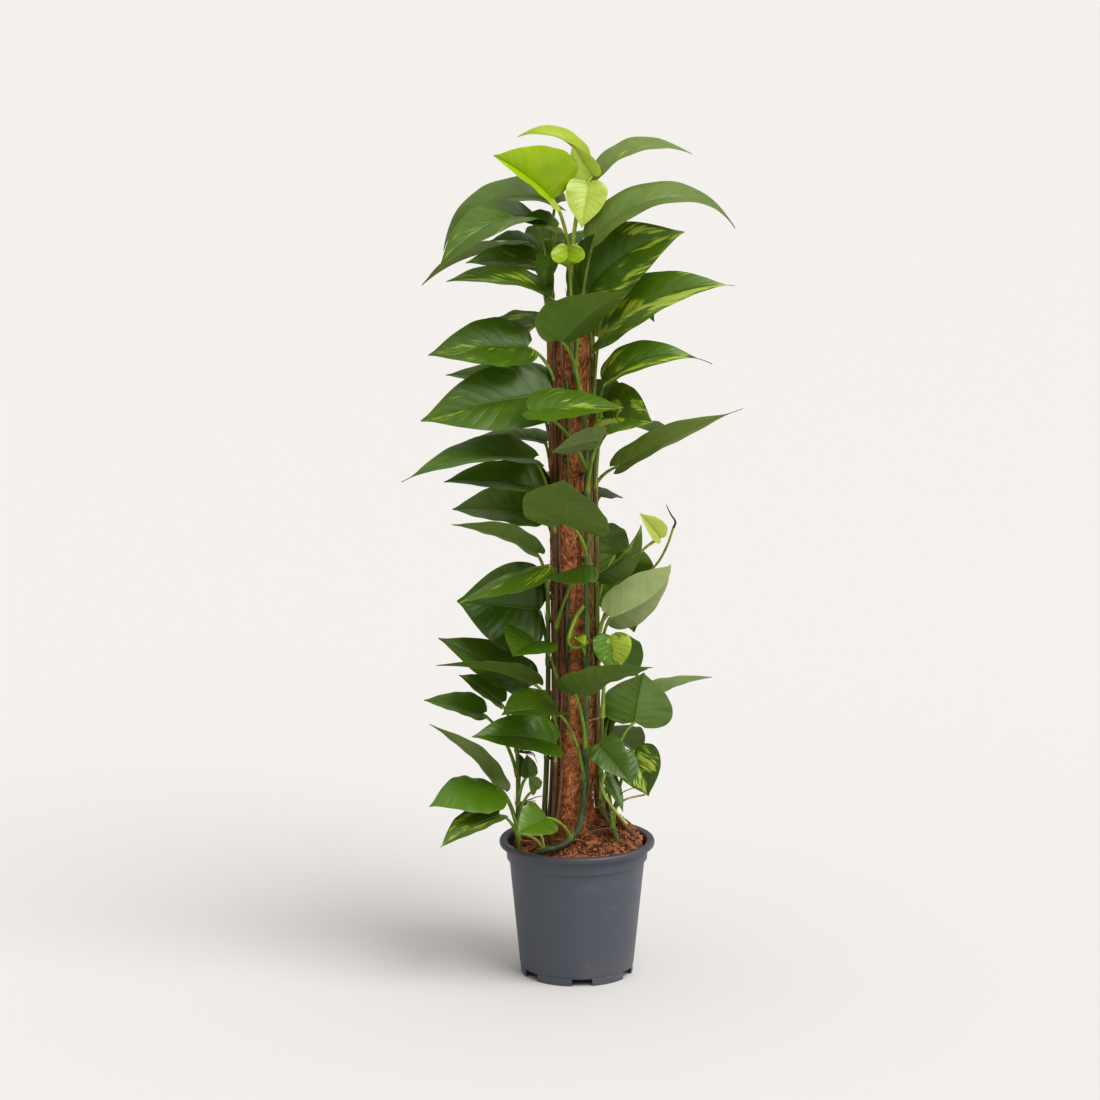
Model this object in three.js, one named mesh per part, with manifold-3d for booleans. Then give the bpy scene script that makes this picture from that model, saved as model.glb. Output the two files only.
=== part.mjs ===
// A golden pothos on a coir pole in a nursery pot, in millimetres, +Z up.
// The origin is the middle of the pot's foot, on the surface that the pot stands on.
// The front of the plant faces -Y.
import * as THREE from "three";
import Module from "manifold-3d";
import { mergeVertices } from "three/addons/utils/BufferGeometryUtils.js";

const wasm = await Module();
wasm.setup();

// Pot
const potHeight = 168;
const rimRadius = 95;
const lipDepth = 8;
const collarRadius = 85.7;
const collarBottom = 143.5;
const bodyTopRadius = 82.6;
const footRadius = 68.6;
const footHeight = 10;
const potWall = 1.6;
const footInset = 1.2;
const notchCount = 6;
const notchWidth = 25;
const notchHeight = 9;
const notchTurn = 5;
const drainCount = 6;
const drainRadius = 5;
const drainCircle = 44;
const potSides = 30;

// Soil
const soilGap = 0.4;
const soilEdge = 157;
const soilMound = 30;
const soilRise = 24;
const soilSides = 20;

// Coir pole: leans a little to the left on its way up
const poleRadius = 23.4;
const poleLump = 0.8;
const poleFoot = [-1, 0, 60];
const poleTop = [-11, 0, 790];
const poleSides = 12;
const poleSteps = 10;
const clearance = 0.4;

// Leaves and stems
const bladeThickness = 0.9;
const wideBlade = 84;
const waveShare = 0.035;
const stalkRoot = 2.5;
const stalkEnd = 1.6;
const stalkSteps = 3;
const stalkShare = 0.97;
const stemSides = 6;
const stemStep = 75;
const mergeWithin = 0.05;

const group = new THREE.Group();

function vec([x, y, z]) {
  return new THREE.Vector3(x, y, z);
}

// A solid from points and triangles, ready to be joined or cut.
function solidOf(points, triangles) {
  const places = points.flatMap((p) => [p.x, p.y, p.z]);
  const geometry = new THREE.BufferGeometry();
  geometry.setAttribute("position", new THREE.Float32BufferAttribute(places, 3));
  geometry.setIndex(triangles);
  return solid(geometry);
}

function solid(geometry) {
  geometry.deleteAttribute("normal");
  geometry.deleteAttribute("uv");
  const merged = mergeVertices(geometry, 1e-4);
  const vertProperties = new Float32Array(merged.attributes.position.array);
  const triVerts = new Uint32Array(merged.index.array);
  return new wasm.Manifold(new wasm.Mesh({ numProp: 3, vertProperties, triVerts }));
}

// A tube through rings of points, from its first ring to its last, closed at both ends.
function ringSolid(rings) {
  const count = rings[0].length;
  const points = rings.flat();
  const triangles = [];
  for (let i = 0; i < rings.length - 1; i += 1) {
    for (let j = 0; j < count; j += 1) {
      const a = i * count + j;
      const b = i * count + ((j + 1) % count);
      triangles.push(a, b, b + count, a, b + count, a + count);
    }
  }
  const last = (rings.length - 1) * count;
  for (let j = 1; j < count - 1; j += 1) {
    triangles.push(0, j + 1, j);
    triangles.push(last, last + j, last + j + 1);
  }
  return solidOf(points, triangles);
}

// A round tube along a curve, whose radius follows radiusAt(share of the length).
function tube(curve, steps, sides, radiusAt) {
  const frames = curve.computeFrenetFrames(steps, false);
  const rings = [];
  for (let i = 0; i <= steps; i += 1) {
    const centre = curve.getPointAt(i / steps);
    const ring = [];
    for (let j = 0; j < sides; j += 1) {
      const turn = (2 * Math.PI * j) / sides;
      const out = frames.normals[i].clone().multiplyScalar(Math.cos(turn));
      out.addScaledVector(frames.binormals[i], Math.sin(turn));
      ring.push(centre.clone().addScaledVector(out, radiusAt(i / steps)));
    }
    rings.push(ring);
  }
  return ringSolid(rings);
}

function addPiece(name, manifold, colour, roughness) {
  const mesh = manifold.getMesh();
  const geometry = new THREE.BufferGeometry();
  geometry.setAttribute("position", new THREE.Float32BufferAttribute(mesh.vertProperties, 3));
  geometry.setIndex(new THREE.Uint32BufferAttribute(mesh.triVerts, 1));
  geometry.computeVertexNormals();
  const material = new THREE.MeshStandardMaterial({ color: colour, roughness, metalness: 0 });
  const piece = new THREE.Mesh(geometry, material);
  piece.name = name;
  group.add(piece);
}

// Pot: one moulded wall with a rolled lip, a collar, a tapering body and a notched foot.
function bodyRadius(z) {
  const bottomRadius = footRadius + 1;
  const share = (z - footHeight) / (collarBottom - footHeight);
  return THREE.MathUtils.lerp(bottomRadius, bodyTopRadius, share);
}

function potSolid() {
  const outer = [
    [footRadius - potWall, 0],
    [footRadius, 0],
    [footRadius + 0.3, footHeight - 1],
    [bodyRadius(footHeight) - footInset, footHeight],
    [bodyRadius(footHeight + 1), footHeight + 1],
    [bodyTopRadius, collarBottom - 1],
    [collarRadius, collarBottom],
    [collarRadius + 0.8, potHeight - lipDepth],
    [rimRadius - 1, potHeight - lipDepth + 1],
    [rimRadius, potHeight - 3],
    [rimRadius - 2, potHeight],
    [collarRadius, potHeight - 1],
  ];
  const inner = [
    [collarRadius - potWall, potHeight - 5],
    [collarRadius - potWall, collarBottom],
    [bodyTopRadius - potWall, collarBottom - 1],
    [bodyRadius(footHeight + 2) - potWall, footHeight + 2],
    [0, footHeight + 2],
    [0, footHeight],
    [footRadius - potWall, footHeight],
  ];
  const outline = [...outer, ...inner];
  const profile = [...outline, outline[0]].map(([r, z]) => new THREE.Vector2(r, z));
  const lathe = new THREE.LatheGeometry(profile, potSides);
  lathe.rotateX(Math.PI / 2);
  let pot = solid(lathe);
  for (let i = 0; i < notchCount; i += 1) {
    const notch = new THREE.BoxGeometry(notchWidth, 30, notchHeight * 2);
    notch.translate(0, -footRadius, 0);
    notch.rotateZ(((notchTurn + (360 * i) / notchCount) * Math.PI) / 180);
    pot = pot.subtract(solid(notch));
  }
  for (let i = 0; i < drainCount; i += 1) {
    const drain = new THREE.CylinderGeometry(drainRadius, drainRadius, 10, 10);
    drain.rotateX(Math.PI / 2);
    drain.translate(drainCircle, 0, footHeight + 1);
    drain.rotateZ((2 * Math.PI * (i + 0.5)) / drainCount);
    pot = pot.subtract(solid(drain));
  }
  return pot.simplify(mergeWithin);
}

// Soil: its top is heaped towards the back right, with crumbs a few millimetres high.
function soilTop(x, y) {
  const reach = Math.hypot(x, y) / collarRadius;
  const heap = soilMound * (1 - reach * reach) * (1 + 0.25 * Math.sin(Math.atan2(y, x) + 0.4));
  const rise = soilRise * ((x + y) / (2 * collarRadius)) * (1 - reach ** 6);
  const crumbs = 1.6 * Math.sin(x / 6.1 + 1) * Math.cos(y / 5.3) + 1.1 * Math.sin((x - 2 * y) / 4.7);
  return soilEdge + heap + rise + crumbs * (1 - reach ** 8);
}

function soilSolid() {
  const bottom = footHeight + 2 + soilGap;
  const wallGap = potWall + soilGap;
  const side = [
    [bodyRadius(bottom) - wallGap, bottom],
    [bodyTopRadius - wallGap - 0.3, collarBottom - 2],
    [bodyTopRadius - wallGap, soilEdge - 4],
  ];
  const rings = [];
  const ringAt = (radius, zOf) => {
    const ring = [];
    for (let j = 0; j < soilSides; j += 1) {
      const turn = (2 * Math.PI * j) / soilSides;
      const x = radius * Math.cos(turn);
      const y = radius * Math.sin(turn);
      ring.push(new THREE.Vector3(x, y, zOf(x, y)));
    }
    return ring;
  };
  for (const [radius, z] of side) {
    rings.push(ringAt(radius, () => z));
  }
  for (const share of [0.98, 0.86, 0.7, 0.52, 0.34]) {
    rings.push(ringAt(side[2][0] * share, soilTop));
  }
  return ringSolid(rings);
}

// Coir pole: a lumpy round bar. A margin makes the same bar wider and longer, for its hole.
function poleSolid(margin = 0) {
  const rings = [];
  for (let i = 0; i <= poleSteps; i += 1) {
    const centre = vec(poleFoot).lerp(vec(poleTop), i / poleSteps);
    centre.z += i === 0 ? -margin : 0;
    const ring = [];
    for (let j = 0; j < poleSides; j += 1) {
      const turn = (2 * Math.PI * j) / poleSides;
      const radius = poleRadius + margin + poleLump * Math.sin(3 * turn + 2.1 * i);
      ring.push(centre.clone().add(new THREE.Vector3(radius * Math.cos(turn), radius * Math.sin(turn), 0)));
    }
    rings.push(ring);
  }
  return ringSolid(rings);
}

// A leaf: where its stalk meets the blade, its tip, the way its upper side faces, its full
// width, the rise of its halves and the arch of its midrib in degrees, the height on the stem
// where its stalk starts, and how far the midrib bows sideways. Halves with a rise below zero
// droop, and a midrib with an arch below zero curls up.
function leaf(base, tip, face, wide, fold, arch, node, sweep = 0) {
  return { base: vec(base), tip: vec(tip), face: vec(face), wide, fold, arch, node, sweep };
}

// Rows of a blade from its heart-shaped base to its drawn-out tip: the place of each row on the
// midrib and on the margin as shares of the length, and its half width as a share of the widest.
const bladeRows = [
  [0.0, -0.07, 0.34],
  [0.06, 0.02, 0.82],
  [0.18, 0.21, 1.0],
  [0.38, 0.48, 0.91],
  [0.65, 0.75, 0.51],
  [1.0, 1.0, 0.03],
];

function bladeFrame(shape) {
  const chord = shape.tip.clone().sub(shape.base);
  const length = chord.length();
  const forward = chord.normalize();
  const up = shape.face.clone().addScaledVector(forward, -shape.face.dot(forward)).normalize();
  return { length, forward, up, sideways: up.clone().cross(forward) };
}

// A point of a blade's middle surface and the upward direction there. The midrib is an arc from
// base to tip, each half rises from it by the fold, and the margin waves.
function bladePoint(shape, along, across, half) {
  const { length, forward, up, sideways } = bladeFrame(shape);
  const arch = THREE.MathUtils.degToRad(shape.arch);
  const fold = THREE.MathUtils.degToRad(shape.fold);
  const bendRadius = length / (2 * Math.sin(arch / 2));
  const turn = arch * (along - 0.5);
  const share = Math.abs(across);
  const out = share * half * (shape.wide / 2);
  const phase = (shape.tip.x + shape.tip.z) / 40 + (across > 0 ? 0 : 2);
  const wave = waveShare * shape.wide * share * share * Math.sin(8 * along + phase);
  const lift = out * Math.sin(fold) * (1.3 - 0.3 * share) + wave * (1 - along);
  const normal = up.clone().multiplyScalar(Math.cos(turn)).addScaledVector(forward, Math.sin(turn));
  const point = shape.base.clone().add(shape.tip).multiplyScalar(0.5);
  point.addScaledVector(forward, bendRadius * Math.sin(turn));
  point.addScaledVector(up, bendRadius * (Math.cos(turn) - Math.cos(arch / 2)));
  point.addScaledVector(sideways, Math.sign(across) * out * Math.cos(fold));
  point.addScaledVector(sideways, 4 * shape.sweep * along * (1 - along));
  point.addScaledVector(normal, lift);
  return { point, normal };
}

// A row of upper and lower points across the blade.
function bladeRow(shape, columns, [middle, edge, half]) {
  const row = columns.map((across) => {
    const along = middle + (edge - middle) * Math.abs(across);
    return bladePoint(shape, along, across, half);
  });
  const offset = bladeThickness / 2;
  const top = row.map(({ point, normal }) => point.clone().addScaledVector(normal, offset));
  const under = row.map(({ point, normal }) => point.clone().addScaledVector(normal, -offset));
  return { top, under };
}

// A leaf stalk leaves the stem steeply and bends out to the blade.
function stalkCurve(stem, shape) {
  const samples = stem.getSpacedPoints(120);
  const start = samples.find((p) => p.z >= shape.node) ?? samples.at(-1);
  const end = shape.base;
  const bend = start.clone().lerp(end, 0.35);
  bend.z = start.z + 0.8 * Math.max(end.z - start.z, 20);
  return new THREE.QuadraticBezierCurve3(start, bend, end);
}

// Rows of upper and lower points round the stalk, turned so that the last one meets the blade.
function stalkRows(stem, shape, columns) {
  const curve = stalkCurve(stem, shape);
  const rows = [];
  let { sideways } = bladeFrame(shape);
  for (let i = stalkSteps; i >= 0; i -= 1) {
    const share = (i / stalkSteps) * stalkShare;
    const centre = curve.getPoint(share);
    const along = curve.getTangent(share);
    sideways = sideways.clone().addScaledVector(along, -along.dot(sideways)).normalize();
    const up = along.clone().cross(sideways);
    const radius = THREE.MathUtils.lerp(stalkRoot, stalkEnd, share);
    const around = (across, sign) => {
      const turn = Math.PI / 2 - (across * Math.PI) / 3;
      const point = centre.clone().addScaledVector(sideways, radius * Math.cos(turn));
      return point.addScaledVector(up, sign * radius * Math.sin(turn));
    };
    rows.unshift({ top: columns.map((c) => around(c, 1)), under: columns.map((c) => around(c, -1)) });
  }
  return rows;
}

function leafSolid(stem, shape) {
  const columns = shape.wide >= wideBlade ? [-1, -0.5, 0, 0.5, 1] : [-1, 0, 1];
  const blade = bladeRows.map((row) => bladeRow(shape, columns, row));
  return slabSolid([...stalkRows(stem, shape, columns), ...blade]);
}

// A thin slab from rows of upper and lower points, cut into triangles alike on both faces.
function slabSolid(rows) {
  const count = rows[0].top.length;
  const points = [...rows.flatMap(({ top }) => top), ...rows.flatMap(({ under }) => under)];
  const below = rows.length * count;
  const triangles = [];
  const wall = (a, b) => triangles.push(a, a + below, b + below, a, b + below, b);
  for (let i = 0; i < rows.length - 1; i += 1) {
    for (let j = 0; j < count - 1; j += 1) {
      const a = i * count + j;
      const d = a + count;
      triangles.push(a, d, d + 1, a, d + 1, a + 1);
      triangles.push(a + below, d + 1 + below, d + below, a + below, a + 1 + below, d + 1 + below);
    }
    wall(i * count, (i + 1) * count);
    wall((i + 2) * count - 1, (i + 1) * count - 1);
  }
  for (let j = 0; j < count - 1; j += 1) {
    wall(j + 1, j);
    wall(below - count + j, below - count + j + 1);
  }
  return solidOf(points, triangles);
}

// A stem tapers a little towards its top. A margin makes the same tube wider, for its hole.
function stemTube(stem, radius, margin) {
  const steps = Math.round(stem.getLength() / stemStep);
  return tube(stem, steps, stemSides, (t) => radius * (1 - 0.3 * t) + margin);
}

// A leafy stem: the stem, its leaf stalks and its blades, grown together.
function vineSolid({ path, radius, leaves }) {
  const stem = new THREE.CatmullRomCurve3(path.map(vec));
  const pieces = [stemTube(stem, radius, 0), ...leaves.map((shape) => leafSolid(stem, shape))];
  return wasm.Manifold.union(pieces).simplify(mergeWithin);
}

const vines = {
  vine_front: {
    colour: 0x5d8a2a,
    radius: 4.2,
    path: [
      [-50, -54, 138],
      [-51, -55, 158],
      [-40, -57, 168],
      [-20, -53, 172],
      [0, -43, 190],
      [9, -33, 235],
      [10, -30, 300],
      [11, -29, 450],
      [11, -28, 600],
      [6, -29, 705],
      [-6, -30, 760],
      [-8, -30, 830],
      [-10, -30, 890],
    ],
    leaves: [
      leaf([10, 10, 975], [-71, -10, 1021], [0.5, -0.3, 0.8], 46, 20, 110, 860),
      leaf([-31, -25, 950], [-99, -45, 1002], [0.4, -0.8, 0.6], 98, 42, 30, 878),
      leaf([-12, -42, 896], [-12, -84, 888], [0, -0.3, 1], 44, 25, -165, 790),
      leaf([12, -20, 968], [4, -45, 918], [0, -0.9, 0.4], 50, 12, 20, 870),
      leaf([17, -16, 977], [-7, -24, 1015], [-0.5, -0.8, 0.3], 36, 22, 20, 874),
      leaf([22, -46, 911], [186, 6, 912], [0, -0.4, 0.9], 64, 15, 110, 745),
      leaf([-20, -66, 787], [50, -132, 853], [-0.2, 0.6, 0.8], 92, 20, 20, 720),
      leaf([-57, -100, 711], [52, -108, 715], [0, -0.5, 0.9], 60, 12, 10, 625),
      leaf([27, -65, 671], [-31, -110, 663], [-0.5, 0.5, 0.6], 48, 8, 15, 600),
      leaf([-12, -57, 567], [-17, -132, 634], [0.28, 0.3, 0.9], 110, -8, 20, 520),
      leaf([-2, -40, 424], [8, -55, 421], [0.1, -0.1, 1], 22, 35, 20, 395),
      leaf([-4, -64, 364], [87, -132, 411], [0.4, 0.02, 0.93], 86, 9, 20, 280),
      leaf([-26, -73, 343], [-90, -117, 350], [0.1, -0.2, 0.9], 80, 15, 30, 245),
      leaf([-38, -85, 216], [-72, -125, 207], [0.1, -0.8, 0.6], 50, 15, 15, 178),
    ],
  },
  vine_front_left: {
    colour: 0x4a6b26,
    radius: 3.6,
    path: [
      [-34, -26, 135],
      [-28, -21, 200],
      [-25, -20, 380],
      [-26, -20, 540],
      [-27, -20, 660],
      [-29, -20, 790],
      [-32, -22, 870],
    ],
    leaves: [
      leaf([-53, -28, 928], [-161, -120, 877], [-0.2, -0.6, 0.8], 68, 14, 70, 830),
      leaf([-24, -38, 918], [-70, -64, 928], [0.3, -0.5, 0.8], 38, 15, 25, 850),
      leaf([-34, -40, 836], [-153, -90, 860], [0.2, -0.3, 1], 66, 15, 40, 780),
      leaf([-26, -22, 897], [-39, -37, 844], [-0.6, -0.7, 0.3], 40, 20, 10, 863),
      leaf([-60, -30, 775], [-176, -55, 769], [0.1, -0.7, 0.7], 74, 15, 30, 735),
      leaf([-35, -25, 718], [-185, -62, 692], [0.1, -0.8, 0.6], 92, 10, 30, 690),
      leaf([-53, -34, 642], [-197, -75, 627], [0, -0.3, 1], 74, 15, 40, 550),
      leaf([-39, -17, 601], [-159, -39, 615], [0.2, -0.45, 0.9], 68, 18, 35, 562),
      leaf([-52, -38, 422], [-77, -86, 414], [0.2, -0.4, 0.9], 72, 15, 15, 370),
      leaf([-53, -40, 370], [-168, -78, 401], [0.2, 0.4, 0.9], 60, 15, 25, 310),
      leaf([17, -62, 520], [-40, -80, 506], [-0.2, -0.2, 1], 56, -25, 15, 430),
      leaf([-27, -38, 296], [-126, -75, 313], [0.2, -0.5, 0.8], 70, 15, 30, 265),
    ],
  },
  vine_left: {
    colour: 0x53802b,
    radius: 3.6,
    path: [
      [-44, -4, 135],
      [-38, -4, 240],
      [-35, -5, 400],
      [-36, -5, 500],
    ],
    leaves: [
      leaf([-50, -6, 523], [-150, -30, 562], [0.2, 0.5, 0.8], 60, 15, 25, 480),
      leaf([-35, -36, 513], [-141, -66, 474], [-0.3, -0.3, 0.9], 54, -14, 15, 440),
      leaf([-46, 5, 450], [-145, -5, 464], [0, -0.95, 0.3], 114, 14, 20, 385),
      leaf([-60, 8, 354], [-168, -4, 418], [0.4, -0.6, 0.7], 70, 15, 10, 270),
    ],
  },
  vine_right: {
    colour: 0x7b5a32,
    radius: 3.8,
    path: [
      [66, -6, 135],
      [58, -10, 184],
      [32, -12, 218],
      [26, -9, 270],
      [24, -8, 400],
      [22, -8, 560],
      [19, -8, 700],
      [17, -8, 800],
    ],
    leaves: [
      leaf([6, -21, 833], [124, -45, 913], [-0.4, -0.85, 0.3], 94, 10, 25, 760, 14),
      leaf([26, -15, 785], [174, -40, 850], [-0.4, -0.6, 0.7], 84, 18, 66, 705),
      leaf([34, -25, 734], [139, -50, 765], [-0.4, -0.6, 0.7], 52, 18, 85, 660),
      leaf([31, -8, 688], [88, -45, 688], [-0.5, -0.5, 0.7], 84, 20, 30, 600),
      leaf([22, -38, 504], [75, -51, 566], [0.5, -0.75, -0.25], 44, 32, 80, 430),
      leaf([99, -15, 543], [74, -20, 574], [0.6, -0.8, 0.3], 30, 25, 15, 415),
      leaf([43, 15, 323], [36, 10, 283], [-0.8, -0.6, 0.2], 32, 20, 10, 250),
      leaf([40, -45, 453], [113, 34, 501], [-0.8, 0.6, -0.05], 70, 25, -85, 370),
    ],
  },
  vine_low_right: {
    colour: 0x6a7a30,
    radius: 3.2,
    path: [
      [50, -36, 135],
      [47, -35, 180],
      [31, -29, 215],
      [29, -27, 260],
      [30, -26, 330],
    ],
    leaves: [
      leaf([39, -30, 427], [44, -44, 384], [0.1, -0.9, 0.3], 50, 20, 15, 325),
      leaf([69, -25, 319], [81, 18, 370], [0, 0.85, -0.5], 88, 8, -50, 215),
      leaf([26, -46, 296], [62, -68, 257], [0.1, -0.8, 0.6], 46, 18, 15, 225),
      leaf([69, -17, 282], [86, -37, 230], [-0.1, -0.9, 0.4], 58, 15, 15, 190),
      leaf([32, -30, 255], [55, -50, 214], [0.6, -0.6, 0.6], 26, 20, 15, 190),
    ],
  },
  vine_low_left: {
    colour: 0x5b8a2c,
    radius: 3,
    path: [
      [-70, -18, 135],
      [-72, -20, 200],
      [-72, -20, 260],
      [-74, -18, 310],
    ],
    leaves: [
      leaf([-93, -15, 340], [-143, -20, 376], [0.5, -0.5, 0.8], 44, 20, 15, 280),
      leaf([-115, 0, 323], [-186, 0, 340], [0.2, -0.4, 0.9], 48, 15, 20, 250),
      leaf([-95, -20, 236], [-178, -40, 320], [0.5, 0.5, 0.7], 58, 15, 25, 180),
      leaf([-97, -45, 241], [-177, -85, 230], [0.1, -0.4, 0.9], 76, -12, 50, 175),
      leaf([-94, -60, 212], [-164, -100, 183], [-0.2, -0.4, 0.9], 52, 20, 25, 170),
      leaf([-69, -10, 253], [-73, -5, 277], [0.8, -0.5, 0.2], 24, 15, 10, 215),
      leaf([-60, -30, 253], [-61, -25, 279], [0.6, -0.8, 0.2], 26, 15, 10, 215),
      leaf([-50, -50, 241], [-59, -60, 261], [0.8, -0.6, 0], 24, 15, 10, 195),
    ],
  },
  vine_back_left: {
    colour: 0x3f6a22,
    radius: 4,
    path: [
      [-42, 26, 135],
      [-32, 19, 200],
      [-28, 17, 300],
      [-29, 17, 480],
      [-31, 17, 660],
      [-34, 16, 790],
      [-32, 14, 890],
    ],
    leaves: [
      leaf([-26, 26, 939], [-160, 40, 882], [-0.4, -0.4, 0.8], 64, 20, 105, 882),
      leaf([-50, 4, 894], [-104, -12, 899], [0.2, -0.2, 1], 44, 15, 20, 820),
      leaf([-57, 35, 883], [-187, 60, 838], [-0.2, 0.3, 0.9], 60, 15, 50, 790),
      leaf([-50, 6, 870], [-133, 4, 871], [0, -0.5, 0.8], 50, 15, 30, 835),
      leaf([-57, 45, 719], [-159, 60, 729], [0, -0.4, 0.9], 56, 10, 20, 640),
      leaf([-39, 40, 650], [-133, 70, 648], [-0.1, -0.1, 1], 54, 15, 20, 600),
      leaf([-45, 20, 568], [-151, 33, 569], [0.1, -0.5, 0.8], 80, 15, 20, 532),
    ],
  },
  vine_back_right: {
    colour: 0x44702a,
    radius: 4,
    path: [
      [42, 28, 135],
      [26, 20, 205],
      [21, 18, 300],
      [18, 18, 480],
      [16, 18, 660],
      [12, 18, 800],
      [10, 16, 900],
    ],
    leaves: [
      leaf([18, 16, 967], [135, 30, 998], [-0.35, -0.3, 0.9], 58, 16, 80, 880),
      leaf([50, 10, 626], [183, 18, 689], [-0.3, -0.4, 0.9], 52, 15, 12, 592),
      leaf([27, 30, 586], [55, 66, 578], [0.3, -0.1, 1], 38, 15, 10, 545),
      leaf([46, 46, 510], [70, 58, 412], [0.2, -1, -0.1], 84, 15, 20, 420),
      leaf([77, 40, 331], [166, 60, 355], [-0.2, -0.1, 1], 50, 15, 20, 260),
    ],
  },
  vine_back: {
    colour: 0x3c6620,
    radius: 4,
    path: [
      [-6, 50, 135],
      [-3, 33, 205],
      [-4, 29, 320],
      [-6, 29, 480],
      [-8, 29, 640],
      [-10, 29, 780],
      [-10, 27, 850],
    ],
    leaves: [
      leaf([-14, 56, 898], [-46, 133, 836], [0, 0.3, 1], 83, 18, 45, 825),
      leaf([26, 52, 842], [94, 124, 786], [0.1, 0.3, 1], 83, 14, 35, 775),
      leaf([-36, 56, 792], [-112, 124, 728], [0, 0.3, 1], 83, 20, 50, 715),
      leaf([6, 62, 718], [28, 134, 628], [0.1, 0.4, 0.9], 83, 16, 40, 640),
      leaf([38, 52, 672], [116, 116, 636], [0.2, 0.2, 1], 80, 16, 30, 600),
      leaf([-34, 60, 604], [-104, 128, 552], [-0.2, 0.3, 1], 83, 14, 40, 540),
      leaf([12, 60, 532], [44, 134, 452], [0, 0.3, 1], 83, 20, 45, 460),
      leaf([-34, 56, 458], [-110, 124, 392], [-0.1, 0.4, 0.9], 83, 15, 35, 390),
      leaf([18, 58, 394], [76, 130, 338], [0.1, 0.3, 1], 82, 16, 50, 325),
      leaf([-20, 60, 332], [-62, 134, 264], [0, 0.3, 1], 80, 16, 40, 265),
      leaf([26, 58, 288], [82, 126, 236], [0, 0.3, 1], 74, 16, 30, 226),
    ],
  },
};

// Holes in the soil for the pole and the stems, each a little wider and deeper than what is in it.
function soilWithHoles() {
  let soil = soilSolid().subtract(poleSolid(clearance));
  for (const { path, radius } of Object.values(vines)) {
    const stem = new THREE.CatmullRomCurve3(path.map(vec));
    const foot = stem.getPointAt(0);
    const upward = stem.getTangentAt(0);
    const pitBottom = foot.clone().addScaledVector(upward, -2);
    const pitTop = foot.clone().addScaledVector(upward, 1);
    const pitRadius = (radius + clearance) / Math.cos(Math.PI / stemSides);
    const pit = tube(new THREE.LineCurve3(pitBottom, pitTop), 1, stemSides, () => pitRadius);
    soil = soil.subtract(stemTube(stem, radius, clearance)).subtract(pit);
  }
  return soil.simplify(mergeWithin);
}

addPiece("pot", potSolid(), 0x3f454b, 0.55);
addPiece("soil", soilWithHoles(), 0x5a3222, 1);
addPiece("coir_pole", poleSolid(), 0x8a4a25, 1);
for (const [name, vine] of Object.entries(vines)) {
  addPiece(name, vineSolid(vine), vine.colour, 0.45);
}

export default group;
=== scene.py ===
"""Dresses a golden pothos on a coir pole in a nursery pot.

Lengths are in millimetres until a mesh is made, and +Z is up. The front of the plant faces -Y.
"""
import math

import bpy
import numpy as np
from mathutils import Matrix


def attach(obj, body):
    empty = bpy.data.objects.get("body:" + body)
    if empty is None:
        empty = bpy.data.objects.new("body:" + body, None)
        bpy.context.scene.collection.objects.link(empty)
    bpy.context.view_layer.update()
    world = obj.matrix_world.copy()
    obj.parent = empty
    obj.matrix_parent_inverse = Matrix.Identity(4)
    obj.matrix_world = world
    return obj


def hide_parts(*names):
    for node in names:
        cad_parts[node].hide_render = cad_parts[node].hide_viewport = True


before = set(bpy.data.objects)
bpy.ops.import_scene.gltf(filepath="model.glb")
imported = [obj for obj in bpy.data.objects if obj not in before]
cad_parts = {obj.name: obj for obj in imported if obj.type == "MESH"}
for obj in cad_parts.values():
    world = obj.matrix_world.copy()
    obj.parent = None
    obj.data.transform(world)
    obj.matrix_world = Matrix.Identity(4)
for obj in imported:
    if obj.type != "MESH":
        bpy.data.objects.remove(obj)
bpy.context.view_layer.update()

bl_info = {
    "name": "Potted Pothos",
    "version": (1, 0, 0),
    "blender": (4, 5, 0),
    "location": "View3D > Sidebar > Pothos",
    "description": "Dresses a golden pothos on a coir pole in a nursery pot",
    "category": "Object",
}

MM = 0.001

# Camera in metres and degrees, worked out from the pot's rim and foot in the photograph
CAMERA_PLACE = (-0.033, -4.2, 1.342)
CAMERA_DIP = 11
CAMERA_LENS = 116.5

# Key light, tipped from straight down and turned about the upright axis, in degrees
KEY_TIP = 38
KEY_TURN = 48
FLOOR_REACH = 60

# Pot, in millimetres and degrees, as in the part's source
POT_HEIGHT = 168
RIM_RADIUS = 95
LIP_DEPTH = 8
COLLAR_RADIUS = 85.7
COLLAR_BOTTOM = 143.5
BODY_TOP_RADIUS = 82.6
FOOT_RADIUS = 68.6
FOOT_HEIGHT = 10
POT_WALL = 1.6
POT_FLOOR = 2
NOTCH_COUNT = 6
NOTCH_WIDTH = 25
NOTCH_HEIGHT = 9
NOTCH_TURN = 5
DRAIN_COUNT = 6
DRAIN_RADIUS = 5
DRAIN_CIRCLE = 44

# Soil and pole, as in the part's source
SOIL_GAP = 0.4
SOIL_EDGE = 157
SOIL_MOUND = 30
SOIL_RISE = 24
POLE_RADIUS = 23.4
POLE_FOOT = (-1, 0, 60)
POLE_TOP = (-11, 0, 790)

# Leaves and stems, as in the part's source
WAVE_SHARE = 0.035
STALK_ROOT = 2.5
STALK_END = 1.6
STALK_OUT = 0.35
STALK_UP = 0.8
STALK_LEAST_UP = 20

# The tones of the leaves, as red, green and blue from 0 to 1 on a screen
TONES = {
    "lime": (0.6, 0.69, 0.14),
    "bright": (0.57, 0.71, 0.0),
    "fresh": (0.34, 0.49, 0.08),
    "green": (0.31, 0.43, 0.07),
    "dark": (0.25, 0.36, 0.03),
    "olive": (0.33, 0.42, 0.13),
    "sage": (0.37, 0.46, 0.2),
    "grey": (0.43, 0.51, 0.26),
    "pale": (0.54, 0.58, 0.38),
    "cream": (0.7, 0.76, 0.34),
}

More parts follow.
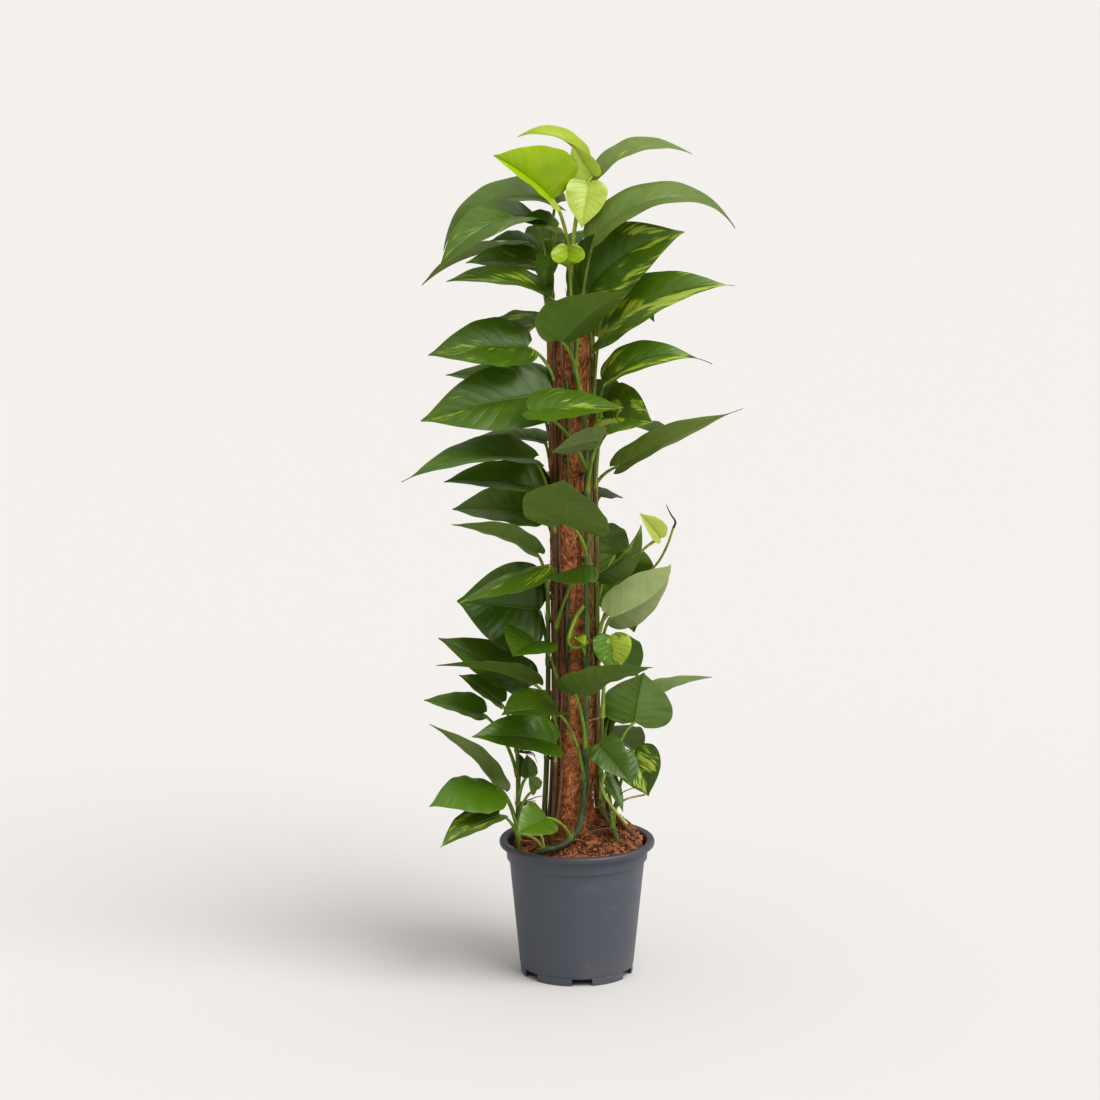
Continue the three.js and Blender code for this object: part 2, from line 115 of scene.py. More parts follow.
# Places along a leaf's outline from its heart-shaped base to its drawn-out tip: the place on the
# midrib and on the margin as shares of the length, and the half width as a share of the widest
OUTLINE = [
    (0.0, -0.07, 0.32),
    (0.01, -0.05, 0.56),
    (0.035, -0.015, 0.72),
    (0.07, 0.035, 0.85),
    (0.12, 0.12, 0.955),
    (0.19, 0.22, 1.0),
    (0.28, 0.35, 0.98),
    (0.38, 0.48, 0.90),
    (0.51, 0.62, 0.73),
    (0.65, 0.75, 0.5),
    (0.79, 0.86, 0.27),
    (0.9, 0.935, 0.11),
    (1.0, 1.0, 0.015),
]


def leaf(base, tip, face, wide, fold, arch, node, tone,
         streak=0.0, side=0, sweep=0, brown=0.0, hair=0):
    """A leaf: where its stalk meets the blade, its tip, the way its upper side faces, its full
    width, the rise of its halves and the arch of its midrib in degrees, the height on the stem
    where its stalk starts, its tone, how streaked it is and on which half, how far its midrib
    bows sideways, how brown its end is, and the length of the thread that its tip ends in.
    Halves with a rise below zero droop, a midrib with an arch below zero curls up, and an end
    with a brown below zero is cream instead."""
    return dict(
        base=np.array(base, float), tip=np.array(tip, float), face=np.array(face, float),
        wide=wide, fold=math.radians(fold), arch=math.radians(arch), node=node,
        tone=TONES[tone], streak=streak, side=side, sweep=sweep, brown=brown, hair=hair)


VINES = {
    "vine_front": dict(
        radius=4.2,
        skin=(0.32, 0.42, 0.23),
        bark=(0.2, 0.25, 0.17),
        path=[(-50, -54, 138), (-51, -55, 158), (-40, -57, 168), (-20, -53, 172), (0, -43, 190),
              (9, -33, 235), (10, -30, 300), (11, -29, 450), (11, -28, 600), (6, -29, 705),
              (-6, -30, 760), (-8, -30, 830), (-10, -30, 890)],
        leaves=[
            leaf((10, 10, 975), (-71, -10, 1021), (0.5, -0.3, 0.8), 46, 20, 110, 860, "lime", 0.4),
            leaf((-31, -25, 950), (-99, -45, 1002), (0.4, -0.8, 0.6), 98, 42, 30, 878, "bright",
                 0.15),
            leaf((-12, -42, 896), (-12, -84, 888), (0, -0.3, 1), 44, 25, -165, 790, "lime", 0.3),
            leaf((12, -20, 968), (4, -45, 918), (0, -0.9, 0.4), 50, 12, 20, 870, "cream", 0.5),
            leaf((17, -16, 977), (-7, -24, 1015), (-0.5, -0.8, 0.3), 36, 22, 20, 874, "cream", 0.4),
            leaf((22, -46, 911), (186, 6, 912), (0, -0.4, 0.9), 64, 15, 110, 745, "sage", 0.1),
            leaf((-20, -66, 787), (50, -132, 853), (-0.2, 0.6, 0.8), 92, 20, 20, 720, "green"),
            leaf((-57, -100, 711), (52, -108, 715), (0, -0.5, 0.9), 60, 12, 10, 625, "green", 0.55),
            leaf((27, -65, 671), (-31, -110, 663), (-0.5, 0.5, 0.6), 48, 8, 15, 600, "sage"),
            leaf((-12, -57, 567), (-17, -132, 634), (0.28, 0.3, 0.9), 110, -8, 20, 520, "olive",
                 0.1),
            leaf((-2, -40, 424), (8, -55, 421), (0.1, -0.1, 1), 22, 35, 20, 395, "lime", 0.2),
            leaf((-4, -64, 364), (87, -132, 411), (0.4, 0.02, 0.93), 86, 9, 20, 280, "green"),
            leaf((-26, -73, 343), (-90, -117, 350), (0.1, -0.2, 0.9), 80, 15, 30, 245, "dark",
                 0.05),
            leaf((-38, -85, 216), (-72, -125, 207), (0.1, -0.8, 0.6), 50, 15, 15, 178, "green",
                 0.1),
        ],
    ),
    "vine_front_left": dict(
        radius=3.6,
        skin=(0.36, 0.29, 0.19),
        bark=(0.36, 0.27, 0.13),
        path=[(-34, -26, 135), (-28, -21, 200), (-25, -20, 380), (-26, -20, 540), (-27, -20, 660),
              (-29, -20, 790), (-32, -22, 870)],
        leaves=[
            leaf((-53, -28, 928), (-161, -120, 877), (-0.2, -0.6, 0.8), 68, 14, 70, 830, "green",
                 0.5),
            leaf((-24, -38, 918), (-70, -64, 928), (0.3, -0.5, 0.8), 38, 15, 25, 850, "dark"),
            leaf((-34, -40, 836), (-153, -90, 860), (0.2, -0.3, 1), 66, 15, 40, 780, "green", 0.5),
            leaf((-26, -22, 897), (-39, -37, 844), (-0.6, -0.7, 0.3), 40, 20, 10, 863, "fresh",
                 0.3),
            leaf((-60, -30, 775), (-176, -55, 769), (0.1, -0.7, 0.7), 74, 15, 30, 735, "green",
                 0.45),
            leaf((-35, -25, 718), (-185, -62, 692), (0.1, -0.8, 0.6), 92, 10, 30, 690, "green",
                 0.4),
            leaf((-53, -34, 642), (-197, -75, 627), (0, -0.3, 1), 74, 15, 40, 550, "green", 0.2,
                 hair=12),
            leaf((-39, -17, 601), (-159, -39, 615), (0.2, -0.45, 0.9), 68, 18, 35, 562, "green"),
            leaf((-52, -38, 422), (-77, -86, 414), (0.2, -0.4, 0.9), 72, 15, 15, 370, "dark", 0.15),
            leaf((-53, -40, 370), (-168, -78, 401), (0.2, 0.4, 0.9), 60, 15, 25, 310, "green"),
            leaf((17, -62, 520), (-40, -80, 506), (-0.2, -0.2, 1), 56, -25, 15, 430, "dark"),
            leaf((-27, -38, 296), (-126, -75, 313), (0.2, -0.5, 0.8), 70, 15, 30, 265, "green",
                 0.2),
        ],
    ),
    "vine_left": dict(
        radius=3.6,
        skin=(0.38, 0.46, 0.2),
        bark=(0.33, 0.36, 0.18),
        path=[(-44, -4, 135), (-38, -4, 240), (-35, -5, 400), (-36, -5, 500)],
        leaves=[
            leaf((-50, -6, 523), (-150, -30, 562), (0.2, 0.5, 0.8), 60, 15, 25, 480, "sage"),
            leaf((-35, -36, 513), (-141, -66, 474), (-0.3, -0.3, 0.9), 54, -14, 15, 440, "green",
                 0.45,
                 brown=-0.3),
            leaf((-46, 5, 450), (-145, -5, 464), (0, -0.95, 0.3), 114, 14, 20, 385, "dark", 0.1),
            leaf((-60, 8, 354), (-168, -4, 418), (0.4, -0.6, 0.7), 70, 15, 10, 270, "green"),
        ],
    ),
    "vine_right": dict(
        radius=3.8,
        skin=(0.42, 0.36, 0.22),
        bark=(0.4, 0.28, 0.16),
        path=[(66, -6, 135), (58, -10, 184), (32, -12, 218), (26, -9, 270), (24, -8, 400),
              (22, -8, 560), (19, -8, 700), (17, -8, 800)],
        leaves=[
            leaf((6, -21, 833), (124, -45, 913), (-0.4, -0.85, 0.3), 94, 10, 25, 760, "green", 0.65,
                 brown=-0.2, sweep=14),
            leaf((26, -15, 785), (174, -40, 850), (-0.4, -0.6, 0.7), 84, 18, 66, 705, "green", 0.75,
                 side=-0.2, brown=-0.3, hair=10),
            leaf((34, -25, 734), (139, -50, 765), (-0.4, -0.6, 0.7), 52, 18, 85, 660, "green", 0.7,
                 brown=1, hair=20),
            leaf((31, -8, 688), (88, -45, 688), (-0.5, -0.5, 0.7), 84, 20, 30, 600, "green", 0.7),
            leaf((22, -38, 504), (75, -51, 566), (0.5, -0.75, -0.25), 44, 32, 80, 430, "dark", 0.6),
            leaf((99, -15, 543), (74, -20, 574), (0.6, -0.8, 0.3), 30, 25, 15, 415, "cream", 0.5),
            leaf((43, 15, 323), (36, 10, 283), (-0.8, -0.6, 0.2), 32, 20, 10, 250, "fresh", 0.8),
            leaf((40, -45, 453), (113, 34, 501), (-0.8, 0.6, -0.05), 70, 25, -85, 370, "pale"),
        ],
    ),
    "vine_low_right": dict(
        radius=3.2,
        skin=(0.36, 0.43, 0.22),
        bark=(0.3, 0.33, 0.15),
        path=[(50, -36, 135), (47, -35, 180), (31, -29, 215), (29, -27, 260), (30, -26, 330)],
        leaves=[
            leaf((39, -30, 427), (44, -44, 384), (0.1, -0.9, 0.3), 50, 20, 15, 325, "fresh", 0.9,
                 side=1),
            leaf((69, -25, 319), (81, 18, 370), (0, 0.85, -0.5), 88, 8, -50, 215, "dark"),
            leaf((26, -46, 296), (62, -68, 257), (0.1, -0.8, 0.6), 46, 18, 15, 225, "dark", 0.1),
            leaf((69, -17, 282), (86, -37, 230), (-0.1, -0.9, 0.4), 58, 15, 15, 190, "dark", 0.6),
            leaf((32, -30, 255), (55, -50, 214), (0.6, -0.6, 0.6), 26, 20, 15, 190, "dark"),
        ],
    ),
    "vine_low_left": dict(
        radius=3,
        skin=(0.4, 0.55, 0.2),
        bark=(0.42, 0.5, 0.22),
        path=[(-70, -18, 135), (-72, -20, 200), (-72, -20, 260), (-74, -18, 310)],
        leaves=[
            leaf((-93, -15, 340), (-143, -20, 376), (0.5, -0.5, 0.8), 44, 20, 15, 280, "green"),
            leaf((-115, 0, 323), (-186, 0, 340), (0.2, -0.4, 0.9), 48, 15, 20, 250, "green", 0.1),
            leaf((-95, -20, 236), (-178, -40, 320), (0.5, 0.5, 0.7), 58, 15, 25, 180, "grey"),
            leaf((-97, -45, 241), (-177, -85, 230), (0.1, -0.4, 0.9), 76, -12, 50, 175, "fresh"),
            leaf((-94, -60, 212), (-164, -100, 183), (-0.2, -0.4, 0.9), 52, 20, 25, 170, "green",
                 0.6,
                 brown=-0.7),
            leaf((-69, -10, 253), (-73, -5, 277), (0.8, -0.5, 0.2), 24, 15, 10, 215, "olive"),
            leaf((-60, -30, 253), (-61, -25, 279), (0.6, -0.8, 0.2), 26, 15, 10, 215, "olive"),
            leaf((-50, -50, 241), (-59, -60, 261), (0.8, -0.6, 0), 24, 15, 10, 195, "olive"),
        ],
    ),
    "vine_back_left": dict(
        radius=4,
        skin=(0.36, 0.32, 0.17),
        bark=(0.36, 0.27, 0.13),
        path=[(-42, 26, 135), (-32, 19, 200), (-28, 17, 300), (-29, 17, 480), (-31, 17, 660),
              (-34, 16, 790), (-32, 14, 890)],
        leaves=[
            leaf((-26, 26, 939), (-160, 40, 882), (-0.4, -0.4, 0.8), 64, 20, 105, 882, "sage"),
            leaf((-50, 4, 894), (-104, -12, 899), (0.2, -0.2, 1), 44, 15, 20, 820, "green", 0.4),
            leaf((-57, 35, 883), (-187, 60, 838), (-0.2, 0.3, 0.9), 60, 15, 50, 790, "grey"),
            leaf((-50, 6, 870), (-133, 4, 871), (0, -0.5, 0.8), 50, 15, 30, 835, "green", 0.45),
            leaf((-57, 45, 719), (-159, 60, 729), (0, -0.4, 0.9), 56, 10, 20, 640, "green"),
            leaf((-39, 40, 650), (-133, 70, 648), (-0.1, -0.1, 1), 54, 15, 20, 600, "green"),
            leaf((-45, 20, 568), (-151, 33, 569), (0.1, -0.5, 0.8), 80, 15, 20, 532, "fresh"),
        ],
    ),
    "vine_back_right": dict(
        radius=4,
        skin=(0.38, 0.5, 0.22),
        bark=(0.36, 0.27, 0.13),
        path=[(42, 28, 135), (26, 20, 205), (21, 18, 300), (18, 18, 480), (16, 18, 660),
              (12, 18, 800), (10, 16, 900)],
        leaves=[
            leaf((18, 16, 967), (135, 30, 998), (-0.35, -0.3, 0.9), 58, 16, 80, 880, "grey", 0.3,
                 brown=-0.4),
            leaf((50, 10, 626), (183, 18, 689), (-0.3, -0.4, 0.9), 52, 15, 12, 592, "sage", 0.15,
                 hair=16),
            leaf((27, 30, 586), (55, 66, 578), (0.3, -0.1, 1), 38, 15, 10, 545, "dark"),
            leaf((46, 46, 510), (70, 58, 412), (0.2, -1, -0.1), 84, 15, 20, 420, "green"),
            leaf((77, 40, 331), (166, 60, 355), (-0.2, -0.1, 1), 50, 15, 20, 260, "grey", 0.2),
        ],
    ),
    "vine_back": dict(
        radius=4,
        skin=(0.38, 0.45, 0.2),
        bark=(0.36, 0.27, 0.13),
        path=[(-6, 50, 135), (-3, 33, 205), (-4, 29, 320), (-6, 29, 480), (-8, 29, 640),
              (-10, 29, 780), (-10, 27, 850)],
        leaves=[
            leaf((-14, 56, 898), (-46, 133, 836), (0, 0.3, 1), 83, 18, 45, 825, "fresh", 0.3),
            leaf((26, 52, 842), (94, 124, 786), (0.1, 0.3, 1), 83, 14, 35, 775, "dark", 0.3),
            leaf((-36, 56, 792), (-112, 124, 728), (0, 0.3, 1), 83, 20, 50, 715, "green", 0.6),
            leaf((6, 62, 718), (28, 134, 628), (0.1, 0.4, 0.9), 83, 16, 40, 640, "dark", 0.1),
            leaf((38, 52, 672), (116, 116, 636), (0.2, 0.2, 1), 80, 16, 30, 600, "fresh", 0.45),
            leaf((-34, 60, 604), (-104, 128, 552), (-0.2, 0.3, 1), 83, 14, 40, 540, "green", 0.3),
            leaf((12, 60, 532), (44, 134, 452), (0, 0.3, 1), 83, 20, 45, 460, "green", 0.4),
            leaf((-34, 56, 458), (-110, 124, 392), (-0.1, 0.4, 0.9), 83, 15, 35, 390, "dark"),
            leaf((18, 58, 394), (76, 130, 338), (0.1, 0.3, 1), 82, 16, 50, 325, "fresh", 0.3),
            leaf((-20, 60, 332), (-62, 134, 264), (0, 0.3, 1), 80, 16, 40, 265, "fresh", 0.3),
            leaf((26, 58, 288), (82, 126, 236), (0, 0.3, 1), 74, 16, 30, 226, "dark", 0.1),
        ],
    ),
}


# Shoots and roots beside the leaves: the stem they belong to, the radius at the start and at the
# end, the colour, and the points they run through
TWIGS = [
    ("vine_front_left", 2.1, 1.5, (0.44, 0.31, 0.27),
     [(-22, -24, 600), (-23, -24, 567), (-20, -23, 495), (-17, -23, 421), (-19, -23, 341),
      (-21, -22, 300)]),
    ("vine_front_left", 1.3, 0.8, (0.5, 0.34, 0.2),
     [(-30, -16, 725), (-33, -21, 690), (-30, -22, 650), (-31, -17, 610)]),
    ("vine_front_left", 2.3, 1.8, (0.42, 0.32, 0.24),
     [(-20, -26, 790), (-17, -26, 700), (-20, -25, 640), (-22, -25, 596)]),
    ("vine_front_left", 2.1, 1.6, (0.36, 0.42, 0.2),
     [(-13, -26, 735), (-10, -26, 690), (-12, -27, 640), (-9, -26, 590)]),
    ("vine_front_left", 2.5, 1.8, (0.3, 0.34, 0.18),
     [(-11, -25, 500), (-13, -26, 420), (-10, -27, 370), (-13, -27, 310)]),
    ("vine_front_left", 1.8, 2.2, (0.44, 0.32, 0.22),
     [(-21, -23, 302), (-19, -24, 260), (-22, -27, 215), (-27, -30, 186)]),
    ("vine_front", 1.5, 0.9, (0.5, 0.3, 0.2),
     [(8, -29, 585), (2, -25, 560), (3, -24, 530), (0, -23.5, 490), (-3, -24, 455)]),
    ("vine_front", 3.1, 2.4, (0.5, 0.6, 0.2),
     [(8, -30, 464), (-1, -30, 451), (-8, -36, 435), (-10, -40, 421), (-3, -43, 415), (6, -44, 417),
      (12, -44, 423)]),
    ("vine_front", 1.8, 1.5, (0.6, 0.65, 0.3),
     [(-40, -57, 168), (-43, -60, 186), (-48, -62, 197)]),
    ("vine_front", 1.8, 1.3, (0.58, 0.62, 0.3),
     [(-40, -57, 168), (-48, -58, 180), (-60, -60, 188)]),
    ("vine_right", 1.3, 0.8, (0.46, 0.3, 0.18),
     [(18, -9, 690), (14, -15, 660), (15, -14.5, 610), (12, -17, 560)]),
    ("vine_right", 1.7, 1.4, (0.56, 0.62, 0.28),
     [(24, -8, 430), (60, 28, 470), (95, 34, 500), (108, 24, 525), (116, 16, 551)]),
    ("vine_right", 1.5, 0.4, (0.24, 0.12, 0.1),
     [(116, 16, 550), (118, 16, 557), (112, 16, 567), (107, 16, 578)]),
    ("vine_low_right", 2.1, 1.7, (0.6, 0.66, 0.32),
     [(33, -45, 261), (30, -47, 244), (45, -50, 216), (60, -50, 199)]),
    ("vine_low_right", 3.4, 3, (0.42, 0.28, 0.17),
     [(23, -20, 232), (42, -28, 212), (60, -36, 191), (69, -40, 182)]),
    ("vine_low_right", 0.8, 0.5, (0.3, 0.2, 0.14),
     [(40, -34, 210), (53, -40, 234), (71, -38, 242)]),
    ("vine_low_right", 1.4, 1.1, (0.56, 0.6, 0.34),
     [(40, -34, 205), (56, -35, 224), (82, -30, 230)]),
    ("vine_back", 1.8, 1.1, (0.46, 0.32, 0.24),
     [(-8, 29, 610), (-4, 24.5, 560), (2, 24.5, 500), (-1, 24.5, 430)]),
    ("vine_back_left", 1.5, 0.9, (0.5, 0.34, 0.2),
     [(-30, 17, 560), (-27, 12, 520), (-28, 9, 460), (-29, 4, 420)]),
]


# Numbers on whole arrays

SPAN_STEPS = 60


def unit(v):
    """Each vector divided by its length."""
    return v / np.maximum(np.linalg.norm(v, axis=-1, keepdims=True), 1e-9)


def linear(colour):
    """Screen values turned into amounts of light: ((c + 0.055) / 1.055) to the power 2.4."""
    return ((np.array(colour, float) + 0.055) / 1.055) ** 2.4


def noise(p, cell, seed=0):
    """Smooth noise from -1 to 1: a random value at each corner of a grid of cells, blended
    between the corners by 3t^2 - 2t^3 along each axis."""
    q = np.asarray(p, float) / cell + seed * 17.31
    corner = np.floor(q)
    t = q - corner
    t = t * t * (3 - 2 * t)
    total = 0
    for step in np.ndindex(2, 2, 2):
        value = np.sin((corner + step) @ (12.99, 78.23, 37.72)) * 43758.5
        total = total + (value - np.floor(value)) * np.prod(np.where(step, t, 1 - t), axis=-1)
    return 2 * total - 1


def roughened(value, place, lumps):
    """A value plus noise of several sizes, each given as its depth and the size of its cells."""
    for seed, (depth, cell) in enumerate(lumps):
        value = value + depth * noise(place, cell, seed)
    return value


def polar(radius, turn, z):
    """Points at a radius from the upright axis, at an angle round it, and at a height."""
    return np.stack(np.broadcast_arrays(radius * np.cos(turn), radius * np.sin(turn), z), axis=-1)


def bell(x, middle, width):
    """1 at the middle and less on both sides: e to the power of minus ((x - middle) / width)^2."""
    return np.exp(-(((x - middle) / width) ** 2))


def angles(count):
    """Even angles from -pi to pi, each in the middle of its share of the circle."""
    return (np.arange(count) + 0.5) / count * 2 * np.pi - np.pi


def travelled(points):
    """How far along a polyline each of its points lies."""
    return np.r_[0, np.cumsum(np.linalg.norm(np.diff(points, axis=0), axis=1))]


def evenly(points, count):
    """Points at even distances along a polyline."""
    far = travelled(points)
    want = np.linspace(0, far[-1], count)
    return np.stack([np.interp(want, far, points[:, k]) for k in range(points.shape[1])], axis=1)


def smooth_line(path, count):
    """Points at even distances on a smooth curve through a path. Between two neighbours it is a
    cubic, whose slopes at the ends come from knots that lie the root of the distance apart."""
    p = np.array(path, float)
    p = np.vstack([2 * p[0] - p[1], p, 2 * p[-1] - p[-2]])
    gap = np.sqrt(np.linalg.norm(np.diff(p, axis=0), axis=1))[:, None]
    a, b, c, d = p[:-3], p[1:-2], p[2:-1], p[3:]
    before, gap, after = gap[:-2], gap[1:-1], gap[2:]
    start = ((b - a) / before - (c - a) / (before + gap) + (c - b) / gap) * gap
    end = ((c - b) / gap - (d - b) / (gap + after) + (d - c) / after) * gap
    t = np.linspace(0, 1, SPAN_STEPS, endpoint=False)[:, None, None]
    fine = b + start * t + (3 * (c - b) - 2 * start - end) * t**2
    fine = fine + (2 * (b - c) + start + end) * t**3
    return evenly(np.vstack([fine.transpose(1, 0, 2).reshape(-1, p.shape[1]), p[-2]]), count)


def tube(line, side, radius, count):
    """Rings of points round a line: each point lies `radius` from it, which has a row for each
    ring, at an even angle from the upward direction, which is square to the line and to `side`."""
    along = unit(np.gradient(line, axis=0))
    side = unit(side - along * np.sum(side * along, axis=1, keepdims=True))
    up = np.cross(along, side)
    turn = angles(count)[None, :, None]
    out = up[:, None] * np.cos(turn) + side[:, None] * np.sin(turn)
    return line[:, None] + out * radius[:, :, None]


def placed(name, data):
    """A new object of the scene that holds a mesh, a light or a camera."""
    thing = bpy.data.objects.new(name, data)
    bpy.context.scene.collection.objects.link(thing)
    return thing


class Surface:
    """Tubes of points gathered into one closed mesh, with values kept at their points."""

    def __init__(self):
        self.points = []
        self.faces = []
        self.kinds = []
        self.values = {}
        self.count = 0

    def add(self, rings, kind=0, **values):
        """Adds tubes, given as rings of points in rows: quads between neighbouring rings, and
        across each end quads between the points that face each other."""
        rows, ring = rings.shape[-3:-1]
        many = rings.reshape(-1, rows, ring, 3)
        j = np.arange(ring)
        i = np.arange(rows - 1)[:, None]
        a, b = i * ring + j, i * ring + (j + 1) % ring
        walls = np.stack([a, a + ring, b + ring, b], axis=-1).reshape(-1, 4)
        j = np.arange(ring // 2 - 1)
        start = np.stack([j, j + 1, ring - 2 - j, ring - 1 - j], axis=-1)
        end = start[:, ::-1] + (rows - 1) * ring
        faces = np.vstack([walls, start, end])
        first = self.count + np.arange(len(many))[:, None, None] * rows * ring
        self.faces.append((faces + first).reshape(-1, 4))
        self.kinds.append(np.full(len(faces) * len(many), kind))
        self.points.append(many.reshape(-1, 3))
        size = len(many) * rows * ring
        for name, value in values.items():
            value = np.asarray(value, float)
            value = np.broadcast_to(value, (*rings.shape[:-1], value.shape[-1]))
            self.values.setdefault(name, []).append((self.count, value.reshape(size, -1)))
        self.count += size

    def mesh(self, name, materials, sharp):
        """The gathered points as an object in metres, at the origin, smooth but for the edges
        where faces meet at more than the angle `sharp`, in degrees."""
        mesh = bpy.data.meshes.new(name)
        mesh.from_pydata(np.vstack(self.points) * MM, [], np.vstack(self.faces))
        mesh.polygons.foreach_set("material_index", np.concatenate(self.kinds))
        for key, pieces in self.values.items():
            whole = np.zeros((self.count, 4))
            whole[:, 3] = 1
            for first, value in pieces:
                whole[first:first + len(value), :value.shape[1]] = value
            layer = mesh.attributes.new(key, "FLOAT_COLOR", "POINT")
            layer.data.foreach_set("color", whole.ravel())
        mesh.shade_smooth()
        mesh.set_sharp_from_angle(angle=math.radians(sharp))
        for material in materials:
            mesh.materials.append(material)
        return placed(name, mesh)


# Materials


class Socket:
    """A socket of a material's nodes, on which Python's operators add Math nodes."""

    def __init__(self, paint, socket):
        self.paint = paint
        self.socket = socket

    def math(self, operation, *others):
        """A Math node on this socket."""
        return self.paint.node("Math", {"operation": operation}, self, *others)

    def __add__(self, other):
        return self.math("ADD", other)

    def __sub__(self, other):
        return self.math("SUBTRACT", other)

    def __mul__(self, other):
        return self.math("MULTIPLY", other)

    def __radd__(self, other):
        return self + other

    def __rsub__(self, other):
        return self.paint.node("Math", {"operation": "SUBTRACT"}, other, self)

    def __rmul__(self, other):
        return self * other

    def __abs__(self):
        return self.math("ABSOLUTE")

    def rise(self, low, high):
        """0 below `low`, 1 above `high` and a smooth ramp between them."""
        settings = {"interpolation_type": "SMOOTHSTEP"}
        return self.paint.node("MapRange", settings, self, low, high, 0.0, 1.0)


class Nodes:
    """Adds nodes to a material or a world."""

    def __init__(self, tree):
        self.tree = tree

    def node(self, kind, settings, *inputs, output=0):
        """Adds a node: its settings first, then a value or link for each of its inputs."""
        node = self.tree.nodes.new("ShaderNode" + kind)
        for key, value in settings.items():
            setattr(node, key, value)
        sockets = [s for s in node.inputs if s.enabled]
        for target, value in zip(sockets, inputs):
            self.feed(target, value)
        outputs = [s for s in node.outputs if s.enabled]
        return Socket(self, outputs[output])

    def feed(self, target, value):
        """Links a socket to an input or sets its value. None leaves the input as it is."""
        if isinstance(value, Socket):
            self.tree.links.new(value.socket, target)
        elif value is not None:
            target.default_value = value

    def attribute(self, name, output=0):
        """Values kept at the points: colour, vector, factor or alpha, by the output."""
        return self.node("Attribute", {"attribute_name": name}, output=output)

    def parts(self, vector):
        """The three numbers of a vector."""
        node = self.node("SeparateXYZ", {}, vector).socket.node
        return [Socket(self, s) for s in node.outputs]

    def vector(self, x, y, z):
        """A vector of three numbers."""
        return self.node("CombineXYZ", {}, x, y, z)

    def place(self):
        """The place on the object, in metres."""
        return self.node("TexCoord", {}, output=3)

    def stretch(self, vector, x, y, z):
        """A vector whose three numbers are multiplied by shares."""
        return self.node("VectorMath", {"operation": "MULTIPLY"}, vector, (x, y, z))

    def noise(self, vector, scale, detail, roughness=0.5):
        """Noise from 0 to 1."""
        return self.node("TexNoise", {}, vector, scale, detail, roughness)

    def mix(self, share, first, second, blend="MIX"):
        """A colour between two others: the first where the share is 0, the second at 1."""
        settings = {"data_type": "RGBA", "blend_type": blend}
        return self.node("Mix", settings, share, first, second)

    def tinted(self, colour, *shares):
        """A colour whose red, green and blue are multiplied by shares."""
        return self.mix(1.0, colour, (*shares, 1), "MULTIPLY")


class Paint(Nodes):
    """A procedural material on one principled shader."""

    def __init__(self, name, **constants):
        self.material = bpy.data.materials.new(name)
        self.material.use_nodes = True
        super().__init__(self.material.node_tree)
        self.shader = self.tree.nodes["Principled BSDF"]
        for key, value in constants.items():
            self.shader.inputs[key.replace("_", " ")].default_value = value

    def finish(self, colour, roughness, height, depth, strength):
        """Feeds the shader. The height, from 0 to 1, becomes relief `depth` metres deep."""
        self.feed(self.shader.inputs["Base Color"], colour)
        self.feed(self.shader.inputs["Roughness"], roughness)
        bump = self.node("Bump", {}, strength, depth, None, height)
        self.feed(self.shader.inputs["Normal"], bump)
        return self.material


def colour4(colour):
    """A screen colour as a socket's value."""
    return (*linear(colour), 1.0)


# Leafy stems

# Places across a blade from one margin to the other, the number of its side veins, and how far
# they lean towards the tip, as a share of the length
COLUMNS = np.array([0.03, 0.09, 0.17, 0.27, 0.38, 0.5, 0.62, 0.74, 0.85, 0.94, 0.985, 1.0])
COLUMNS = np.r_[-COLUMNS[::-1], 0, COLUMNS]
VEINS = 9
VEIN_LEAN = 0.12

# How fast the waves of a blade run along it, in radians, the widths of its midrib's groove and
# ridge, and the rows and the half width of the thread at its tip
WAVE_SPEED = 8
RIPPLE_SPEED = 25
SWELL_SPEED = 5.5
GROOVE_WIDTH = 1.3
RIDGE_WIDTH = 1.5
HAIR_ROWS = 5
HAIR_SHARE = 0.012

# Stems and stalks, and the roots and dry scales at each node of a stem. Roots farther from the
# pole than the reach stay short.
STEM_ROWS = 260
STEM_SIDES = 16
STEM_SPOTS = 121
STALK_ROWS = 22
STALK_SIDES = 12
KNEE_PLACE = 0.93
CHANNEL_DEPTH = 0.28
RING_WIDTH = 2.2
OLD_LENGTH = 260
NODE_ROOTS = 4
NODE_SCALES = 2
ROOT_REACH = 16
TWIG_ROWS = 40
TUBE_SIDE = np.array([0.94, 0.3, 0.15])
PLAIN_LOOK = (0, 0, 0, 0)
SEEDS_PER_STEM = 20
SEED_STEP = 0.37

STALK_COLOUR = (0.46, 0.56, 0.22)
FLECK_COLOUR = (0.55, 0.5, 0.3)
ROOT_COLOUR = (0.48, 0.32, 0.2)
SCALE_COLOUR = (0.66, 0.5, 0.36)
RIM_COLOUR = (0.62, 0.66, 0.36)
SCORCH_COLOUR = (0.42, 0.2, 0.08)


def blade_frame(shape):
    """Length, and the forward, upward and sideways directions of a blade."""
    chord = shape["tip"] - shape["base"]
    forward = unit(chord)
    up = unit(shape["face"] - forward * (shape["face"] @ forward))
    return np.linalg.norm(chord), forward, up, np.cross(up, forward)


